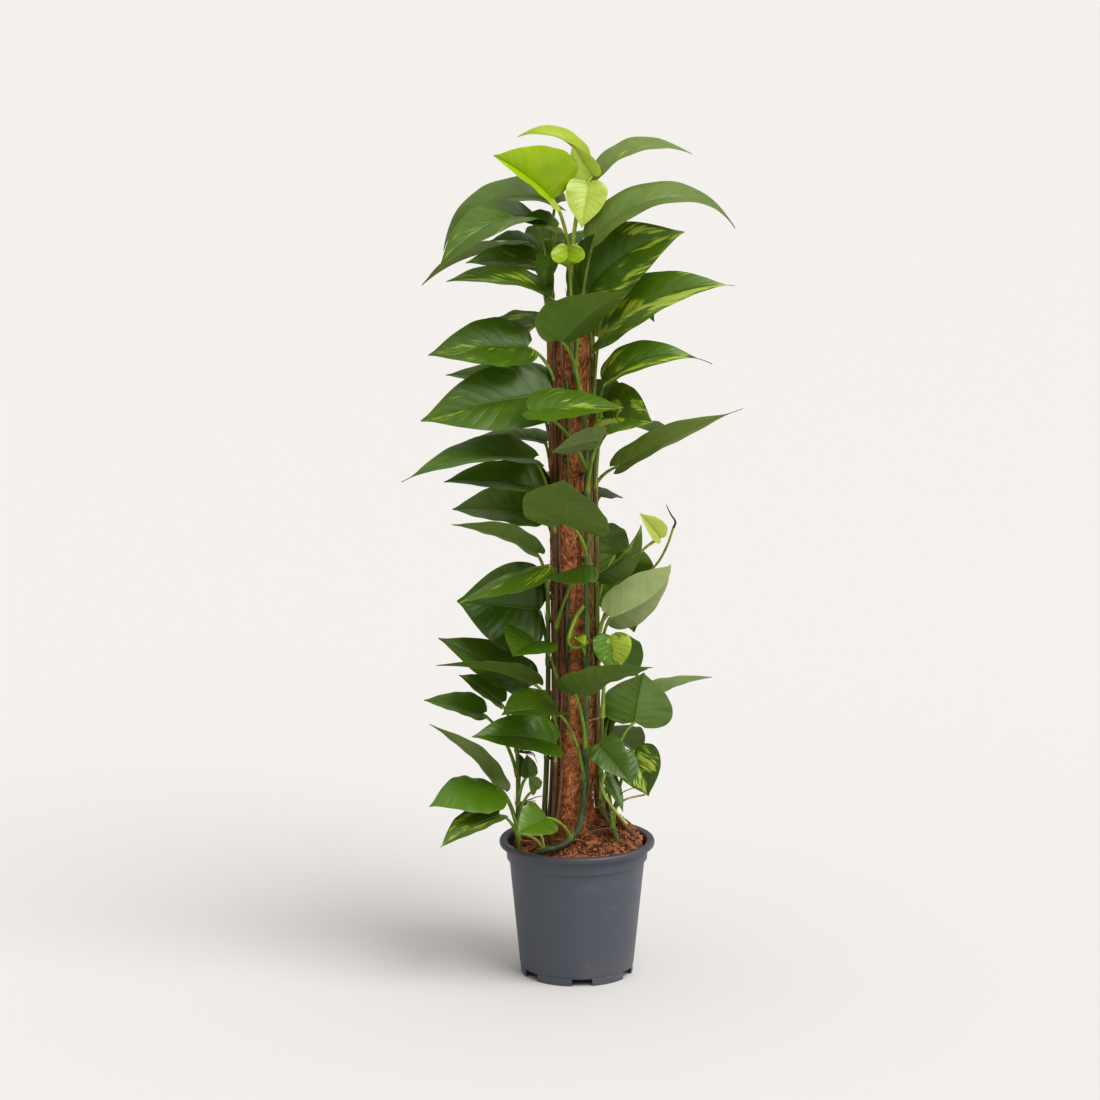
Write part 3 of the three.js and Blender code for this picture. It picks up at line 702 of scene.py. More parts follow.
def blade(shape, settings):
    """Rings round a blade, over its top and back under it. The midrib is an arc from base to
    tip, each half rises from it by the fold, the margin waves, and the surface bulges between
    the side veins by |sin| of the vein count times the place along the leaf."""
    length, forward, up, sideways = blade_frame(shape)
    rows = smooth_line(OUTLINE, settings.blade_rows)
    if shape["hair"]:
        far = 1 + np.linspace(0.25, 1, HAIR_ROWS) * shape["hair"] / length
        rows = np.vstack([rows, np.stack([far, far, np.full(HAIR_ROWS, HAIR_SHARE)], axis=1)])
    middle, edge, half = rows.T[:, :, None]
    across = COLUMNS[None]
    share = np.abs(across)
    along = middle + (edge - middle) * share
    wide = shape["wide"]
    out = share * half * wide / 2
    phase = (shape["tip"][0] + shape["tip"][2]) / 40 + np.where(across > 0, 0, 2)
    fade = np.clip(1 - along, 0, 1)
    wave = WAVE_SHARE * wide * share**2 * np.sin(WAVE_SPEED * along + phase)
    wave += settings.ripple * wide * share**3 * np.sin(RIPPLE_SPEED * along + 2.3 * phase)
    swell = np.sin(SWELL_SPEED * along + 1.7 * phase) * np.cos(3 * across + phase)
    wave += settings.uneven * wide * share * swell
    lift = out * math.sin(shape["fold"]) * (1.3 - 0.3 * share) + wave * fade
    bulge = np.abs(np.sin(np.pi * VEINS * (middle - VEIN_LEAN * share)))
    lift = lift + settings.quilting * wide / 80 * bulge * share * (1 - share) * 4 * fade**0.5
    bend = length / (2 * math.sin(shape["arch"] / 2))
    turn = (shape["arch"] * (along - 0.5))[:, :, None]
    normal = up * np.cos(turn) + forward * np.sin(turn)
    point = (shape["base"] + shape["tip"]) / 2 + forward * bend * np.sin(turn)
    point = point + up * bend * (np.cos(turn) - math.cos(shape["arch"] / 2))
    aside = np.sign(across) * out * math.cos(shape["fold"])
    aside = aside + 4 * shape["sweep"] * along * (1 - along)
    point = point + sideways * aside[:, :, None] + normal * lift[:, :, None]
    thick = settings.thickness / 2 * (1 - 0.75 * share**10)
    groove = settings.rib / 3 * bell(out, 0, GROOVE_WIDTH) * fade
    ridge = settings.rib * bell(out, 0, RIDGE_WIDTH) * fade**0.7
    top = point + normal * (thick - groove)[:, :, None]
    under = point - normal * (thick + ridge)[:, :, None]
    both = np.concatenate([top, under[:, ::-1]], axis=1)
    cross = np.broadcast_to(across, along.shape)
    place = np.stack([cross, np.broadcast_to(middle, along.shape)], axis=-1)
    place = np.concatenate([place, place[:, ::-1]], axis=1)
    return both, place


def stalk_line(stem, shape):
    """A curve that leaves the stem steeply and bends out to the blade: a quadratic Bezier."""
    spots = evenly(stem, STEM_SPOTS)
    above = np.flatnonzero(spots[:, 2] >= shape["node"])
    start = spots[above[0]] if len(above) else spots[-1]
    end = shape["base"]
    bend = start + STALK_OUT * (end - start)
    bend[2] = start[2] + STALK_UP * max(end[2] - start[2], STALK_LEAST_UP)
    t = np.linspace(0, 1, STALK_ROWS)[:, None]
    return (1 - t) ** 2 * start + 2 * t * (1 - t) * bend + t**2 * end


def tube_place(turn, far, seed):
    """The angle, the distance along and a seed at each point of a tube, for its material."""
    return np.stack(np.broadcast_arrays(turn[None], far[:, None], float(seed)), axis=-1)


def add_leaf(surface, stem, shape, seed, settings):
    """Adds a blade and its stalk, which widens at the stem, has a channel along its upper side
    and swells to a knee before the blade."""
    both, place = blade(shape, settings)
    chance = np.random.default_rng(seed)
    tone = linear(shape["tone"]) * chance.uniform(0.88, 1.12) * chance.uniform(0.95, 1.05, 3)
    rows, ring = both.shape[:2]
    under = np.repeat([0, 1], ring // 2)
    look = np.broadcast_arrays(shape["streak"], shape["side"], under, shape["brown"])
    mark = seed * SEED_STEP
    where = np.concatenate([place, np.full((rows, ring, 1), mark)], axis=-1)
    surface.add(both, place=where, look=np.stack(look, axis=-1), tone=tone)
    line = stalk_line(stem, shape)
    t = np.linspace(0, 1, len(line))[:, None]
    size = STALK_ROOT + (STALK_END - STALK_ROOT) * t
    knee, sheath = bell(t, KNEE_PLACE, 0.04), bell(t, 0, 0.07)
    turn = angles(STALK_SIDES)
    size = size * (1 + 0.3 * knee + 0.5 * sheath) * (1 - CHANNEL_DEPTH * bell(turn, 0, 0.5))
    rings = tube(line, blade_frame(shape)[3], size, STALK_SIDES)
    where = tube_place(turn, np.linalg.norm(line - line[0], axis=1), mark)
    stalk = linear(STALK_COLOUR) * 0.8 + tone * 0.5
    surface.add(rings, 1, place=where, look=PLAIN_LOOK, tone=stalk)


def add_stem(surface, vine, seed):
    """Adds a stem: a tapering tube that swells to a ring at each node and is old at its foot."""
    line = smooth_line(vine["path"], STEM_ROWS)
    far = travelled(line)
    t = far / far[-1]
    heights = np.array([shape["node"] for shape in vine["leaves"]])
    nodes = far[np.argmax(line[:, 2] >= heights[:, None], axis=1)]
    swell = bell(far[:, None], nodes, RING_WIDTH).max(axis=1)
    size = vine["radius"] * (1 - 0.3 * t) * (1 + 0.22 * swell)
    turn = angles(STEM_SIDES)
    size = size[:, None] * (1 + 0.05 * np.sin(5 * turn + 0.02 * far[:, None] + seed))
    rings = tube(line, TUBE_SIDE, size, STEM_SIDES)
    old = np.clip(1.2 - far / OLD_LENGTH, 0, 1)[:, None, None] * 0.7
    tone = linear(vine["skin"]) * (1 - old) + linear(vine["bark"]) * old
    tone = tone * (1 + 0.5 * swell[:, None, None])
    surface.add(rings, 1, place=tube_place(turn, far, seed), look=(1, 0, 0, 0),
                tone=np.broadcast_to(tone, rings.shape))
    return line, far, nodes


def pole_axis(z):
    """Points on the pole's axis at heights."""
    foot, top = np.array(POLE_FOOT, float), np.array(POLE_TOP, float)
    return foot + (top - foot) * ((np.asarray(z)[..., None] - foot[2]) / (top[2] - foot[2]))


def add_roots(surface, line, far, nodes, seed):
    """Adds, at each node, brown roots that reach the pole and run down along it, and dry scales
    that clasp the stem and stand off at their tips."""
    chance = np.random.default_rng(seed + 900)
    t = np.linspace(0, 1, 9)[:, None]
    for node in nodes:
        spot = np.array([np.interp(node, far, line[:, k]) for k in range(3)])
        centre = pole_axis(spot[2])
        start = math.atan2(*(spot - centre)[1::-1])
        gap = np.hypot(*(spot - centre)[:2]) - POLE_RADIUS
        near = 1 if gap < ROOT_REACH else 0.4
        for _ in range(NODE_ROOTS if spot[2] < POLE_TOP[2] - 5 else 0):
            length = chance.uniform(8, 30) * near
            turn = start + chance.normal(0, 0.45) * t
            reach = POLE_RADIUS + 1 + (gap - 1) * (1 - near * np.clip(2.5 * t, 0, 1))
            root = polar(reach, turn, spot[2] - length * t**1.4)[:, 0] + centre * (1, 1, 0)
            size = chance.uniform(0.6, 1.3) * (1 - 0.6 * t)
            rings = tube(root, np.array([0.3, 0.2, 0.9]), size, 6)
            tone = linear(ROOT_COLOUR) * chance.uniform(0.4, 1.5)
            surface.add(rings, 1, place=(0, 0, node), look=PLAIN_LOOK, tone=tone)
        for _ in range(NODE_SCALES):
            turn = chance.uniform(0, 2 * np.pi)
            outward = np.array([math.cos(turn), math.sin(turn), 0])
            length = chance.uniform(7, 20)
            lift = 3.3 + chance.uniform(0.5, 3) * t**2
            flap = spot + outward * lift + np.array([0, 0, length]) * t
            around = angles(8)
            size = 0.25 / np.hypot(np.cos(around), 0.09 * np.sin(around)) * (1 - 0.7 * t**2)
            rings = tube(flap, np.cross((0, 0, 1.0), outward), size, 8)
            tone = linear(SCALE_COLOUR) * chance.uniform(0.4, 1.2)
            surface.add(rings, 1, place=(0, 0, node), look=PLAIN_LOOK, tone=tone)


def add_twigs(surface, name):
    """Adds the stem's shoots and long roots: tapering tubes along smooth curves."""
    for number, (owner, start, end, colour, path) in enumerate(TWIGS):
        if owner == name:
            line = smooth_line(path, TWIG_ROWS)
            size = np.linspace(start, end, TWIG_ROWS)[:, None]
            rings = tube(line, TUBE_SIDE, size, STALK_SIDES)
            turn = np.arange(STALK_SIDES) / STALK_SIDES * 6.28
            where = tube_place(turn, np.linalg.norm(line - line[0], axis=1), number)
            surface.add(rings, 1, place=where, look=PLAIN_LOOK, tone=linear(colour))


def leaf_paint(settings):
    """Glossy green with streaks that follow the side veins, and a paler, duller underside."""
    paint = Paint("leaf", IOR=1.45, Specular_IOR_Level=0.55)
    tone = paint.attribute("tone")
    across, along, seed = paint.parts(paint.attribute("place", 1))
    streak, half, under = paint.parts(paint.attribute("look", 1))
    brown = paint.attribute("look", 3)
    side = abs(across)
    vein = along - side * VEIN_LEAN
    sign = across.math("SIGN")
    bands = (vein * VEINS).math("FRACT") - 0.5
    line = abs(bands).rise(0.41, 0.5) * side.rise(0.0, 0.05) * (1 - side.rise(0.8, 1.0))
    rib = 1 - side.rise(0.0, 0.05)
    stroke = along - side * 0.4
    flow = paint.vector(stroke * 24 + seed * 31, side * 1.7 + seed * 7, sign * 2 + seed * 3)
    broad = paint.noise(flow, 1.0, 2.0)
    fine = paint.noise(paint.stretch(flow, 3.0, 2.6, 1.0), 1.3, 3.0, 0.65)
    where = paint.vector(along * 2.6 + seed * 13, across * 1.5 + seed * 5, seed)
    patch = paint.noise(where, 1.0, 1.0).rise(0.38, 0.66)
    middle = 1 - abs(side - 0.38).rise(0.2, 0.6)
    level = 0.78 - streak * (patch * 0.42 + 0.06) * (middle * 0.5 + 0.66) - half * sign * 0.14
    marks = broad * 0.64 + fine * 0.36 - level
    shown = streak.rise(0.01, 0.06)
    mottle = paint.noise(paint.place(), 60.0, 3.0)
    base = paint.mix(mottle.rise(0.3, 0.7) * 0.35, tone, paint.tinted(tone, 0.6, 0.66, 0.5))
    cloud = paint.noise(paint.place(), 17.0, 2.0)
    lighter = paint.tinted(base, 1.35, 1.25, 1.2)
    base = paint.mix(cloud.rise(0.35, 0.7) * 0.45, base, lighter)
    base = paint.mix(marks.rise(-0.09, 0.01) * shown * 0.4, base, colour4(settings.streak))
    yellow = paint.mix(fine.rise(0.5, 0.7), colour4(settings.streak), colour4(settings.cream))
    base = paint.mix(marks.rise(-0.01, 0.05) * shown * 0.88, base, yellow)
    light = paint.tinted(base, 1.6, 1.5, 1.3)
    base = paint.mix((line * 0.05).math("MAXIMUM", rib * 0.35), base, light)
    pale = paint.mix(0.15, base, colour4(settings.underside))
    pale = paint.mix(line * 0.18, pale, paint.tinted(pale, 1.5, 1.5, 1.4))
    colour = paint.mix(under, base, pale)
    rim = side.rise(0.98, 0.998) * 0.2
    colour = paint.mix(rim, colour, colour4(RIM_COLOUR))
    end = (along + fine * 0.3).rise(1.02, 1.12)
    colour = paint.mix(end * (brown * -1).math("MAXIMUM", 0.0), colour, colour4(settings.cream))
    scorch = (along + fine * 0.12).rise(0.93, 0.99) * brown.math("MAXIMUM", 0.0)
    colour = paint.mix(scorch, colour, colour4(SCORCH_COLOUR))
    rough = 0.26 + under * 0.3 + mottle * 0.16
    relief = 0.5 - (line * 0.12 + rib * 0.3) * (1 - under * 2) + fine * 0.03 + mottle * 0.2
    return paint.finish(colour, rough, relief, depth=0.0018, strength=0.7)


def stalk_paint():
    """Green skin with fine lengthwise stripes, brown blotches and pale flecks."""
    paint = Paint("stalk", IOR=1.45)
    tone = paint.attribute("tone")
    turn, far, seed = paint.parts(paint.attribute("place", 1))
    flow = paint.vector(turn * 2.2 + seed * 5, far * 0.02, seed)
    stripes = paint.noise(flow, 2.4, 2.0)
    flecks = paint.noise(paint.stretch(paint.place(), 1.0, 1.0, 0.25), 900.0, 2.0)
    dark = paint.tinted(tone, 0.55, 0.6, 0.5)
    pale = paint.tinted(tone, 1.7, 1.6, 1.5)
    colour = paint.mix(stripes.rise(0.4, 0.6), dark, pale)
    blotch = paint.noise(paint.stretch(paint.place(), 1.0, 1.0, 0.3), 150.0, 3.0)
    brown = paint.tinted(colour, 0.8, 0.55, 0.5)
    colour = paint.mix(blotch.rise(0.52, 0.64) * 0.7, colour, brown)
    colour = paint.mix(flecks.rise(0.55, 0.7) * 0.3, colour, colour4(FLECK_COLOUR))
    return paint.finish(colour, 0.45 + flecks * 0.15, stripes * 0.6 + flecks * 0.4,
                        depth=0.0006, strength=0.6)


# Coir pole

# The height above which it shows, its mesh, how far its last rings draw in, the depth and size of
# its lumps, the radius at which their noise is taken, and the share of its fibres with a free end
POLE_SHOWS = 150
POLE_ROWS = 260
POLE_SIDES = 96
POLE_INSETS = (1.2, 3.5, 20)
POLE_LUMPS = [(1.1, 9), (0.9, 3.6), (0.4, 1.7)]
POLE_LUMPS_AT = 23
FREE_FIBRES = 0.35


def coir_surface(settings):
    """A bar with three blunt ridges that wind up it, whose radius carries three sizes of noise,
    closed at the top by rings that draw in, and covered in loose fibres."""
    surface = Surface()
    foot, top = POLE_FOOT[2], POLE_TOP[2]
    z = np.r_[foot, POLE_SHOWS - 30, np.linspace(POLE_SHOWS, top - 3, POLE_ROWS), top - 1, top, top]
    inset = np.r_[np.zeros(POLE_ROWS + 2), POLE_INSETS][:, None]
    share = ((z - foot) / (top - foot))[:, None]
    turn = -np.linspace(0, 2 * np.pi, POLE_SIDES, endpoint=False)[None]
    ring = polar(POLE_LUMPS_AT, turn, z[:, None])
    radius = POLE_RADIUS + 0.8 * np.sin(3 * turn + 21 * share) - 0.6
    radius = roughened(radius, ring, POLE_LUMPS) - inset
    rings = polar(radius, turn, z[:, None]) + (pole_axis(z) * (1, 1, 0))[:, None]
    shade = 0.75 + 0.5 * noise(ring, 5, 4)[..., None]
    surface.add(rings, tone=linear(settings.colour) * np.clip(shade, 0.35, 1.3))
    add_fibres(surface, settings)
    return surface


def add_fibres(surface, settings):
    """Adds short bent fibres, which each follow the bar at a lean of their own and rise from it
    by 2t(1 - t) where both ends are caught, or by t squared where one is free."""
    chance = np.random.default_rng(7)
    one = (settings.fibres, 1)
    top = POLE_TOP[2]
    t = np.linspace(0, 1, 4)[None]
    height = chance.uniform(POLE_SHOWS, top - 4, one)
    lean = chance.normal(0, 0.8, one)
    length = chance.uniform(10, settings.fibre_length, one)
    length = length * np.where(chance.random(one) < 0.5, -1, 1)
    loose = chance.random(one) ** 3 * 4.5
    free = chance.random(one) < FREE_FIBRES
    rise = np.where(free, loose * t**2, loose * 2 * t * (1 - t))
    reach = POLE_RADIUS + 0.5 + chance.uniform(-0.6, 0.8, one) + rise
    turn = chance.uniform(0, 2 * np.pi, one) + length * np.sin(lean) * t / POLE_RADIUS
    turn = turn + chance.normal(0, 0.06, (settings.fibres, 4)).cumsum(axis=1)
    z = np.minimum(height + length * np.cos(lean) * t, top - 1)
    line = pole_axis(z) * (1, 1, 0) + polar(reach, turn, z)
    along = unit(np.gradient(line, axis=1))
    aside = unit(np.cross(polar(1, turn, 0), along))
    up = np.cross(along, aside)
    size = chance.uniform(0.14, 0.34, (*one, 1, 1)) * np.array([1, 1, 0.9, 0.5])[:, None, None]
    angle = angles(4)[:, None]
    out = up[:, :, None] * np.cos(angle) + aside[:, :, None] * np.sin(angle)
    rings = line[:, :, None] + size * out
    tone = linear(settings.fibre_colour) * chance.uniform(0.3, 1.7, (*one, 1, 1))
    surface.add(rings, tone=np.broadcast_to(tone, rings.shape))


def coir_paint():
    """Matted fibre: brown, in tones kept at the points, fine streaks, painted shade in the gaps."""
    paint = Paint("coir", Specular_IOR_Level=0.2)
    tone = paint.attribute("tone")
    strands = paint.noise(paint.stretch(paint.place(), 1.0, 1.0, 0.3), 420.0, 3.0, 0.6)
    gaps = paint.noise(paint.place(), 130.0, 4.0, 0.65)
    # Painted shade: where the gaps noise is low, at the low places of the relief, the mat is
    # darkened
    dark = paint.tinted(tone, 0.5, 0.42, 0.36)
    colour = paint.mix(gaps.rise(0.36, 0.52), dark, tone)
    light = paint.tinted(tone, 1.6, 1.5, 1.3)
    colour = paint.mix(strands.rise(0.5, 0.7) * 0.5, colour, light)
    return paint.finish(colour, 0.9 + gaps * 0.1, strands * 0.5 + gaps * 0.5,
                        depth=0.0015, strength=0.8)


# Soil

# Its mesh, and the depth and size of its lumps
SOIL_RINGS = 90
SOIL_SIDES = 170
SOIL_LUMPS = [(1.7, 7), (1.4, 3.2), (0.6, 1.7)]


def soil_top(x, y):
    """Height of the soil: a heap, a rise to the back right, and crumbs that fade at the pot."""
    reach = np.minimum(np.hypot(x, y) / COLLAR_RADIUS, 1)
    heap = SOIL_MOUND * (1 - reach**2) * (1 + 0.25 * np.sin(np.arctan2(y, x) + 0.4))
    rise = SOIL_RISE * (x + y) / (2 * COLLAR_RADIUS) * (1 - reach**6)
    crumbs = 1.6 * np.sin(x / 6.1 + 1) * np.cos(y / 5.3) + 1.1 * np.sin((x - 2 * y) / 4.7)
    return SOIL_EDGE + heap + rise + crumbs * (1 - reach**8)


def body_radius(z):
    """Radius of the pot's tapering body at a height."""
    share = (z - FOOT_HEIGHT) / (COLLAR_BOTTOM - FOOT_HEIGHT)
    return FOOT_RADIUS + 1 + (BODY_TOP_RADIUS - FOOT_RADIUS - 1) * share


def soil_surface(settings):
    """The soil's body: the pot's inside, then rings that close over the top, whose height carries
    three sizes of noise."""
    surface = Surface()
    bottom = FOOT_HEIGHT + POT_FLOOR + SOIL_GAP
    gap = POT_WALL + SOIL_GAP
    low, high = body_radius(bottom) - gap, BODY_TOP_RADIUS - gap
    wall = np.array([(2, bottom), (low - 1, bottom), (low, bottom + 1),
                     (high - 0.3, COLLAR_BOTTOM - 2), (high, SOIL_EDGE - 4)])
    radius = np.r_[wall[:, 0], high * np.linspace(0.985, 0.012, SOIL_RINGS)][:, None]
    turn = -np.linspace(0, 2 * np.pi, SOIL_SIDES, endpoint=False)[None]
    flat = polar(radius, turn, 0)
    z = roughened(soil_top(flat[..., 0], flat[..., 1]), flat, SOIL_LUMPS)
    z[:len(wall)] = wall[:, 1:]
    shade = 0.85 + 0.4 * noise(flat, 11, 5)[..., None]
    surface.add(polar(radius, turn, z), tone=linear(settings.colour) * shade)
    add_crumbs(surface, settings, high)
    return surface


def add_crumbs(surface, settings, edge):
    """Adds loose crumbs to the soil: balls of four rings, each squashed, turned and toned."""
    chance = np.random.default_rng(3)
    many = settings.crumbs
    turn = chance.uniform(0, 2 * np.pi, many)
    reach = np.sqrt(chance.random(many)) * (edge - 1.5)
    size = 0.5 + 1.7 * chance.random(many) ** 4
    x, y = reach * np.cos(turn), reach * np.sin(turn)
    centre = np.stack([x, y, soil_top(x, y) + 0.9 + size * 0.35], axis=-1)[:, None, None]
    level = np.array([-0.9, -0.35, 0.35, 0.9])[:, None]
    ball = polar(np.sqrt(1 - level**2), -(np.arange(6) / 6 * 2 * np.pi), level)
    ball = ball * chance.uniform(0.75, 1.25, (many, 4, 6, 1))
    ball = ball * chance.uniform(0.6, 1.2, (many, 1, 1, 3))
    tilt = unit(chance.normal(0, 1, (many, 3)))
    other = unit(np.cross(tilt, (0.3, 0.5, 0.8)))
    axes = np.stack([other, np.cross(tilt, other), tilt], axis=1)
    rings = centre + np.einsum("nijk,nkl->nijl", ball, axes) * size[:, None, None, None]
    tone = linear(settings.colour) * chance.uniform(0.45, 1.7, (many, 1, 1, 1))
    tone = tone * chance.uniform(0.9, 1.1, (many, 1, 1, 3))
    surface.add(rings, tone=np.broadcast_to(tone, rings.shape))


def soil_paint():
    """Crumbly, dull, with painted shade in the pores and paler grains."""
    paint = Paint("soil", Specular_IOR_Level=0.25)
    tone = paint.attribute("tone")
    grains = paint.noise(paint.place(), 320.0, 5.0, 0.7)
    pores = paint.noise(paint.place(), 110.0, 4.0, 0.6)
    # Painted shade: where the pores noise is low, at the low places of the relief, the soil is
    # darkened
    dark = paint.tinted(tone, 0.38, 0.36, 0.36)
    colour = paint.mix(pores.rise(0.4, 0.52), dark, tone)
    light = paint.tinted(tone, 1.9, 1.7, 1.5)
    colour = paint.mix(grains.rise(0.58, 0.72) * 0.5, colour, light)
    return paint.finish(colour, 0.95, grains * 0.6 + pores * 0.4,
                        depth=0.0018, strength=0.9)


# Pot

# How far its corners are rounded, in millimetres, half the width of a notch's wall, in degrees,
# the heights in metres between which the darker lip begins, and the colour of the dust
CORNER_SIZE = 1.6
NOTCH_EDGE = 0.05
LIP_SHADE = (0.1585, 0.161)
DUST_COLOUR = (0.45, 0.4, 0.36)


def rounded(profile, size):
    """An outline whose corners become quadratic curves, with arms `size` long at most."""
    p = np.array(profile, float)
    before, corner, after = p[:-2], p[1:-1], p[2:]
    back, on = (
        arm * np.minimum(size / np.linalg.norm(arm, axis=1, keepdims=True), 0.45)
        for arm in (before - corner, after - corner))
    start, end = corner + back, corner + on
    t = np.linspace(0, 1, 5)[None, :, None]
    bent = (1 - t) ** 2 * start[:, None] + 2 * t * (1 - t) * corner[:, None] + t**2 * end[:, None]
    return np.vstack([p[:1], bent.reshape(-1, 2), p[-1:]])


def pot_surface():
    """The pot's outline turned about its axis. In each notch the foot's lowest points are
    lifted to the notch's height."""
    floor, lip = FOOT_HEIGHT, POT_HEIGHT - LIP_DEPTH
    inner = COLLAR_RADIUS - POT_WALL
    outline = [
        (0.5, floor), (FOOT_RADIUS - POT_WALL, floor), (FOOT_RADIUS - POT_WALL, 0),
        (FOOT_RADIUS, 0), (FOOT_RADIUS + 0.3, floor - 1), (body_radius(floor) - 1.2, floor),
        (body_radius(floor + 1), floor + 1.2), (BODY_TOP_RADIUS, COLLAR_BOTTOM - 1),
        (COLLAR_RADIUS, COLLAR_BOTTOM), (COLLAR_RADIUS + 0.8, lip), (RIM_RADIUS - 0.8, lip + 0.4),
        (RIM_RADIUS, POT_HEIGHT - 3), (RIM_RADIUS - 2, POT_HEIGHT), (COLLAR_RADIUS, POT_HEIGHT - 1),
        (inner, POT_HEIGHT - 5), (inner, COLLAR_BOTTOM),
        (BODY_TOP_RADIUS - POT_WALL, COLLAR_BOTTOM - 1),
        (body_radius(floor + POT_FLOOR) - POT_WALL, floor + POT_FLOOR), (0.5, floor + POT_FLOOR),
    ]
    line = rounded(outline, CORNER_SIZE)
    half = math.degrees(NOTCH_WIDTH / 2 / FOOT_RADIUS)
    cuts = NOTCH_TURN + 360 / NOTCH_COUNT * np.arange(NOTCH_COUNT)
    edges = np.array([-half - NOTCH_EDGE, -half + NOTCH_EDGE, half - NOTCH_EDGE, half + NOTCH_EDGE])
    angle = np.unique(np.r_[np.arange(0, 360, 2.0), (cuts[:, None] + edges).ravel() % 360])
    if len(angle) % 2:
        angle = np.r_[angle, 359]
    inside = (np.abs((angle[:, None] - cuts + 180) % 360 - 180) < half).any(axis=1)
    turn = -np.radians(angle[::-1])
    inside = inside[::-1]
    direction = np.stack([-np.sin(turn), -np.cos(turn)], axis=-1)
    z = np.broadcast_to(line[:, 1:], (len(line), len(angle))).copy()
    low = (line[:, :1] > FOOT_RADIUS - 5) & inside[None] & (z < NOTCH_HEIGHT)
    z[low] = NOTCH_HEIGHT
    rings = np.concatenate([line[:, None, :1] * direction[None], z[..., None]], axis=-1)
    surface = Surface()
    surface.add(rings)
    return surface


def drained(pot):
    """Cuts the drain holes in the pot's floor with one Boolean, which is applied."""
    surface = Surface()
    line = np.array([[0.0, 0.0, FOOT_HEIGHT - 4], [0, 0, FOOT_HEIGHT + 6]])
    for index in range(DRAIN_COUNT):
        turn = 2 * math.pi * (index + 0.5) / DRAIN_COUNT
        spot = np.array([DRAIN_CIRCLE * math.cos(turn), DRAIN_CIRCLE * math.sin(turn), 0])
        surface.add(tube(line + spot, np.array([1.0, 0, 0]), np.full((2, 1), DRAIN_RADIUS), 24))
    cutter = surface.mesh("drain_cutter", [], 50)
    step = pot.modifiers.new("drains", "BOOLEAN")
    step.operation = "DIFFERENCE"
    step.solver = "EXACT"
    step.object = cutter
    graph = bpy.context.evaluated_depsgraph_get()
    cut = bpy.data.meshes.new_from_object(pot.evaluated_get(graph))
    pot.modifiers.clear()
    pot.data = cut
    bpy.data.objects.remove(cutter)


def pot_paint(settings):
    """Slate plastic: fine grain, soft scuffs round the body, dust above the foot, a darker lip."""
    paint = Paint("pot_plastic")
    place = paint.place()
    scuffs = paint.noise(paint.stretch(place, 1.0, 1.0, 2.5), 22.0, 5.0, 0.7)
    grain = paint.noise(place, 900.0, 2.0)
    cloud = paint.noise(place, 14.0, 3.0)
    height = paint.parts(place)[2]
    dust = (1 - height.rise(0.0, 0.05)) * cloud.rise(0.4, 0.7)
    rubbed = scuffs.rise(0.55, 0.75) * settings.scuffs
    colour = paint.mix(rubbed, colour4(settings.colour), colour4(settings.scuffed))
    colour = paint.mix(dust * 0.35, colour, colour4(DUST_COLOUR))
    lip = height.rise(*LIP_SHADE) * 0.6
    colour = paint.mix(lip, colour, paint.tinted(colour, 0.8, 0.62, 0.6))
    rough = 0.38 + cloud * 0.14 + scuffs.rise(0.5, 0.7) * 0.1
    return paint.finish(colour, rough, grain * 0.6 + scuffs * 0.4,
                        depth=0.0004, strength=0.35)


# Settings


def screen_colour(name, description, default):
    """A colour that a user can change."""
    return bpy.props.FloatVectorProperty(
        name=name, description=description, default=default, size=3, min=0, max=1,
        subtype="COLOR_GAMMA")


class PotSettings(bpy.types.PropertyGroup):
    """Finish of the nursery pot."""

    colour: screen_colour("Plastic", "Colour of the pot", (0.31, 0.33, 0.365))
    scuffed: screen_colour("Scuffs", "Colour of the rubbed places", (0.42, 0.43, 0.46))
    scuffs: bpy.props.FloatProperty(
        name="Wear", description="How strongly the rubbed places show", default=0.4, min=0, max=1,
        subtype="FACTOR")


class SoilSettings(bpy.types.PropertyGroup):
    """Look of the potting soil."""

    colour: screen_colour("Soil", "Colour of the soil", (0.65, 0.44, 0.31))
    crumbs: bpy.props.IntProperty(
        name="Crumbs", description="Number of loose crumbs", default=3400, min=0, max=4000)


class PoleSettings(bpy.types.PropertyGroup):
    """Look of the coir pole."""

    colour: screen_colour("Mat", "Colour of the matted coir", (0.78, 0.52, 0.34))
    fibre_colour: screen_colour("Fibres", "Colour of the loose fibres", (0.86, 0.63, 0.45))
    fibres: bpy.props.IntProperty(
        name="Fibre count", description="Number of loose fibres", default=3200, min=0, max=4500)
    fibre_length: bpy.props.FloatProperty(
        name="Fibre length", description="Longest fibre in millimetres", default=38, min=12, max=80)


class FoliageSettings(bpy.types.PropertyGroup):
    """Shape and colours that all the leaves share."""

    thickness: bpy.props.FloatProperty(
        name="Blade", description="Thickness of a blade in millimetres", default=0.8,
        min=0.3, max=1.5)
    rib: bpy.props.FloatProperty(
        name="Midrib", description="Height of the midrib under a blade in millimetres", default=1.1,
        min=0, max=3)
    ripple: bpy.props.FloatProperty(
        name="Ripple", description="Small waves of the margin, as a share of the width",
        default=0.018, min=0, max=0.05, subtype="FACTOR")
    uneven: bpy.props.FloatProperty(
        name="Unevenness", description="Broad swells of the blade, as a share of the width",
        default=0.022, min=0, max=0.05, subtype="FACTOR")
    quilting: bpy.props.FloatProperty(
        name="Quilting", description="How far a wide blade bulges between veins, in millimetres",
        default=0.9, min=0, max=3)
    blade_rows: bpy.props.IntProperty(
        name="Rows", description="Rows of points along a blade", default=52, min=20, max=80)
    streak: screen_colour("Streaks", "Colour of the streaks", (0.62, 0.7, 0.2))
    cream: screen_colour("Cream", "Palest colour of the streaks", (0.82, 0.84, 0.48))
    underside: screen_colour("Underside", "Colour that the undersides lean to", (0.47, 0.52, 0.26))


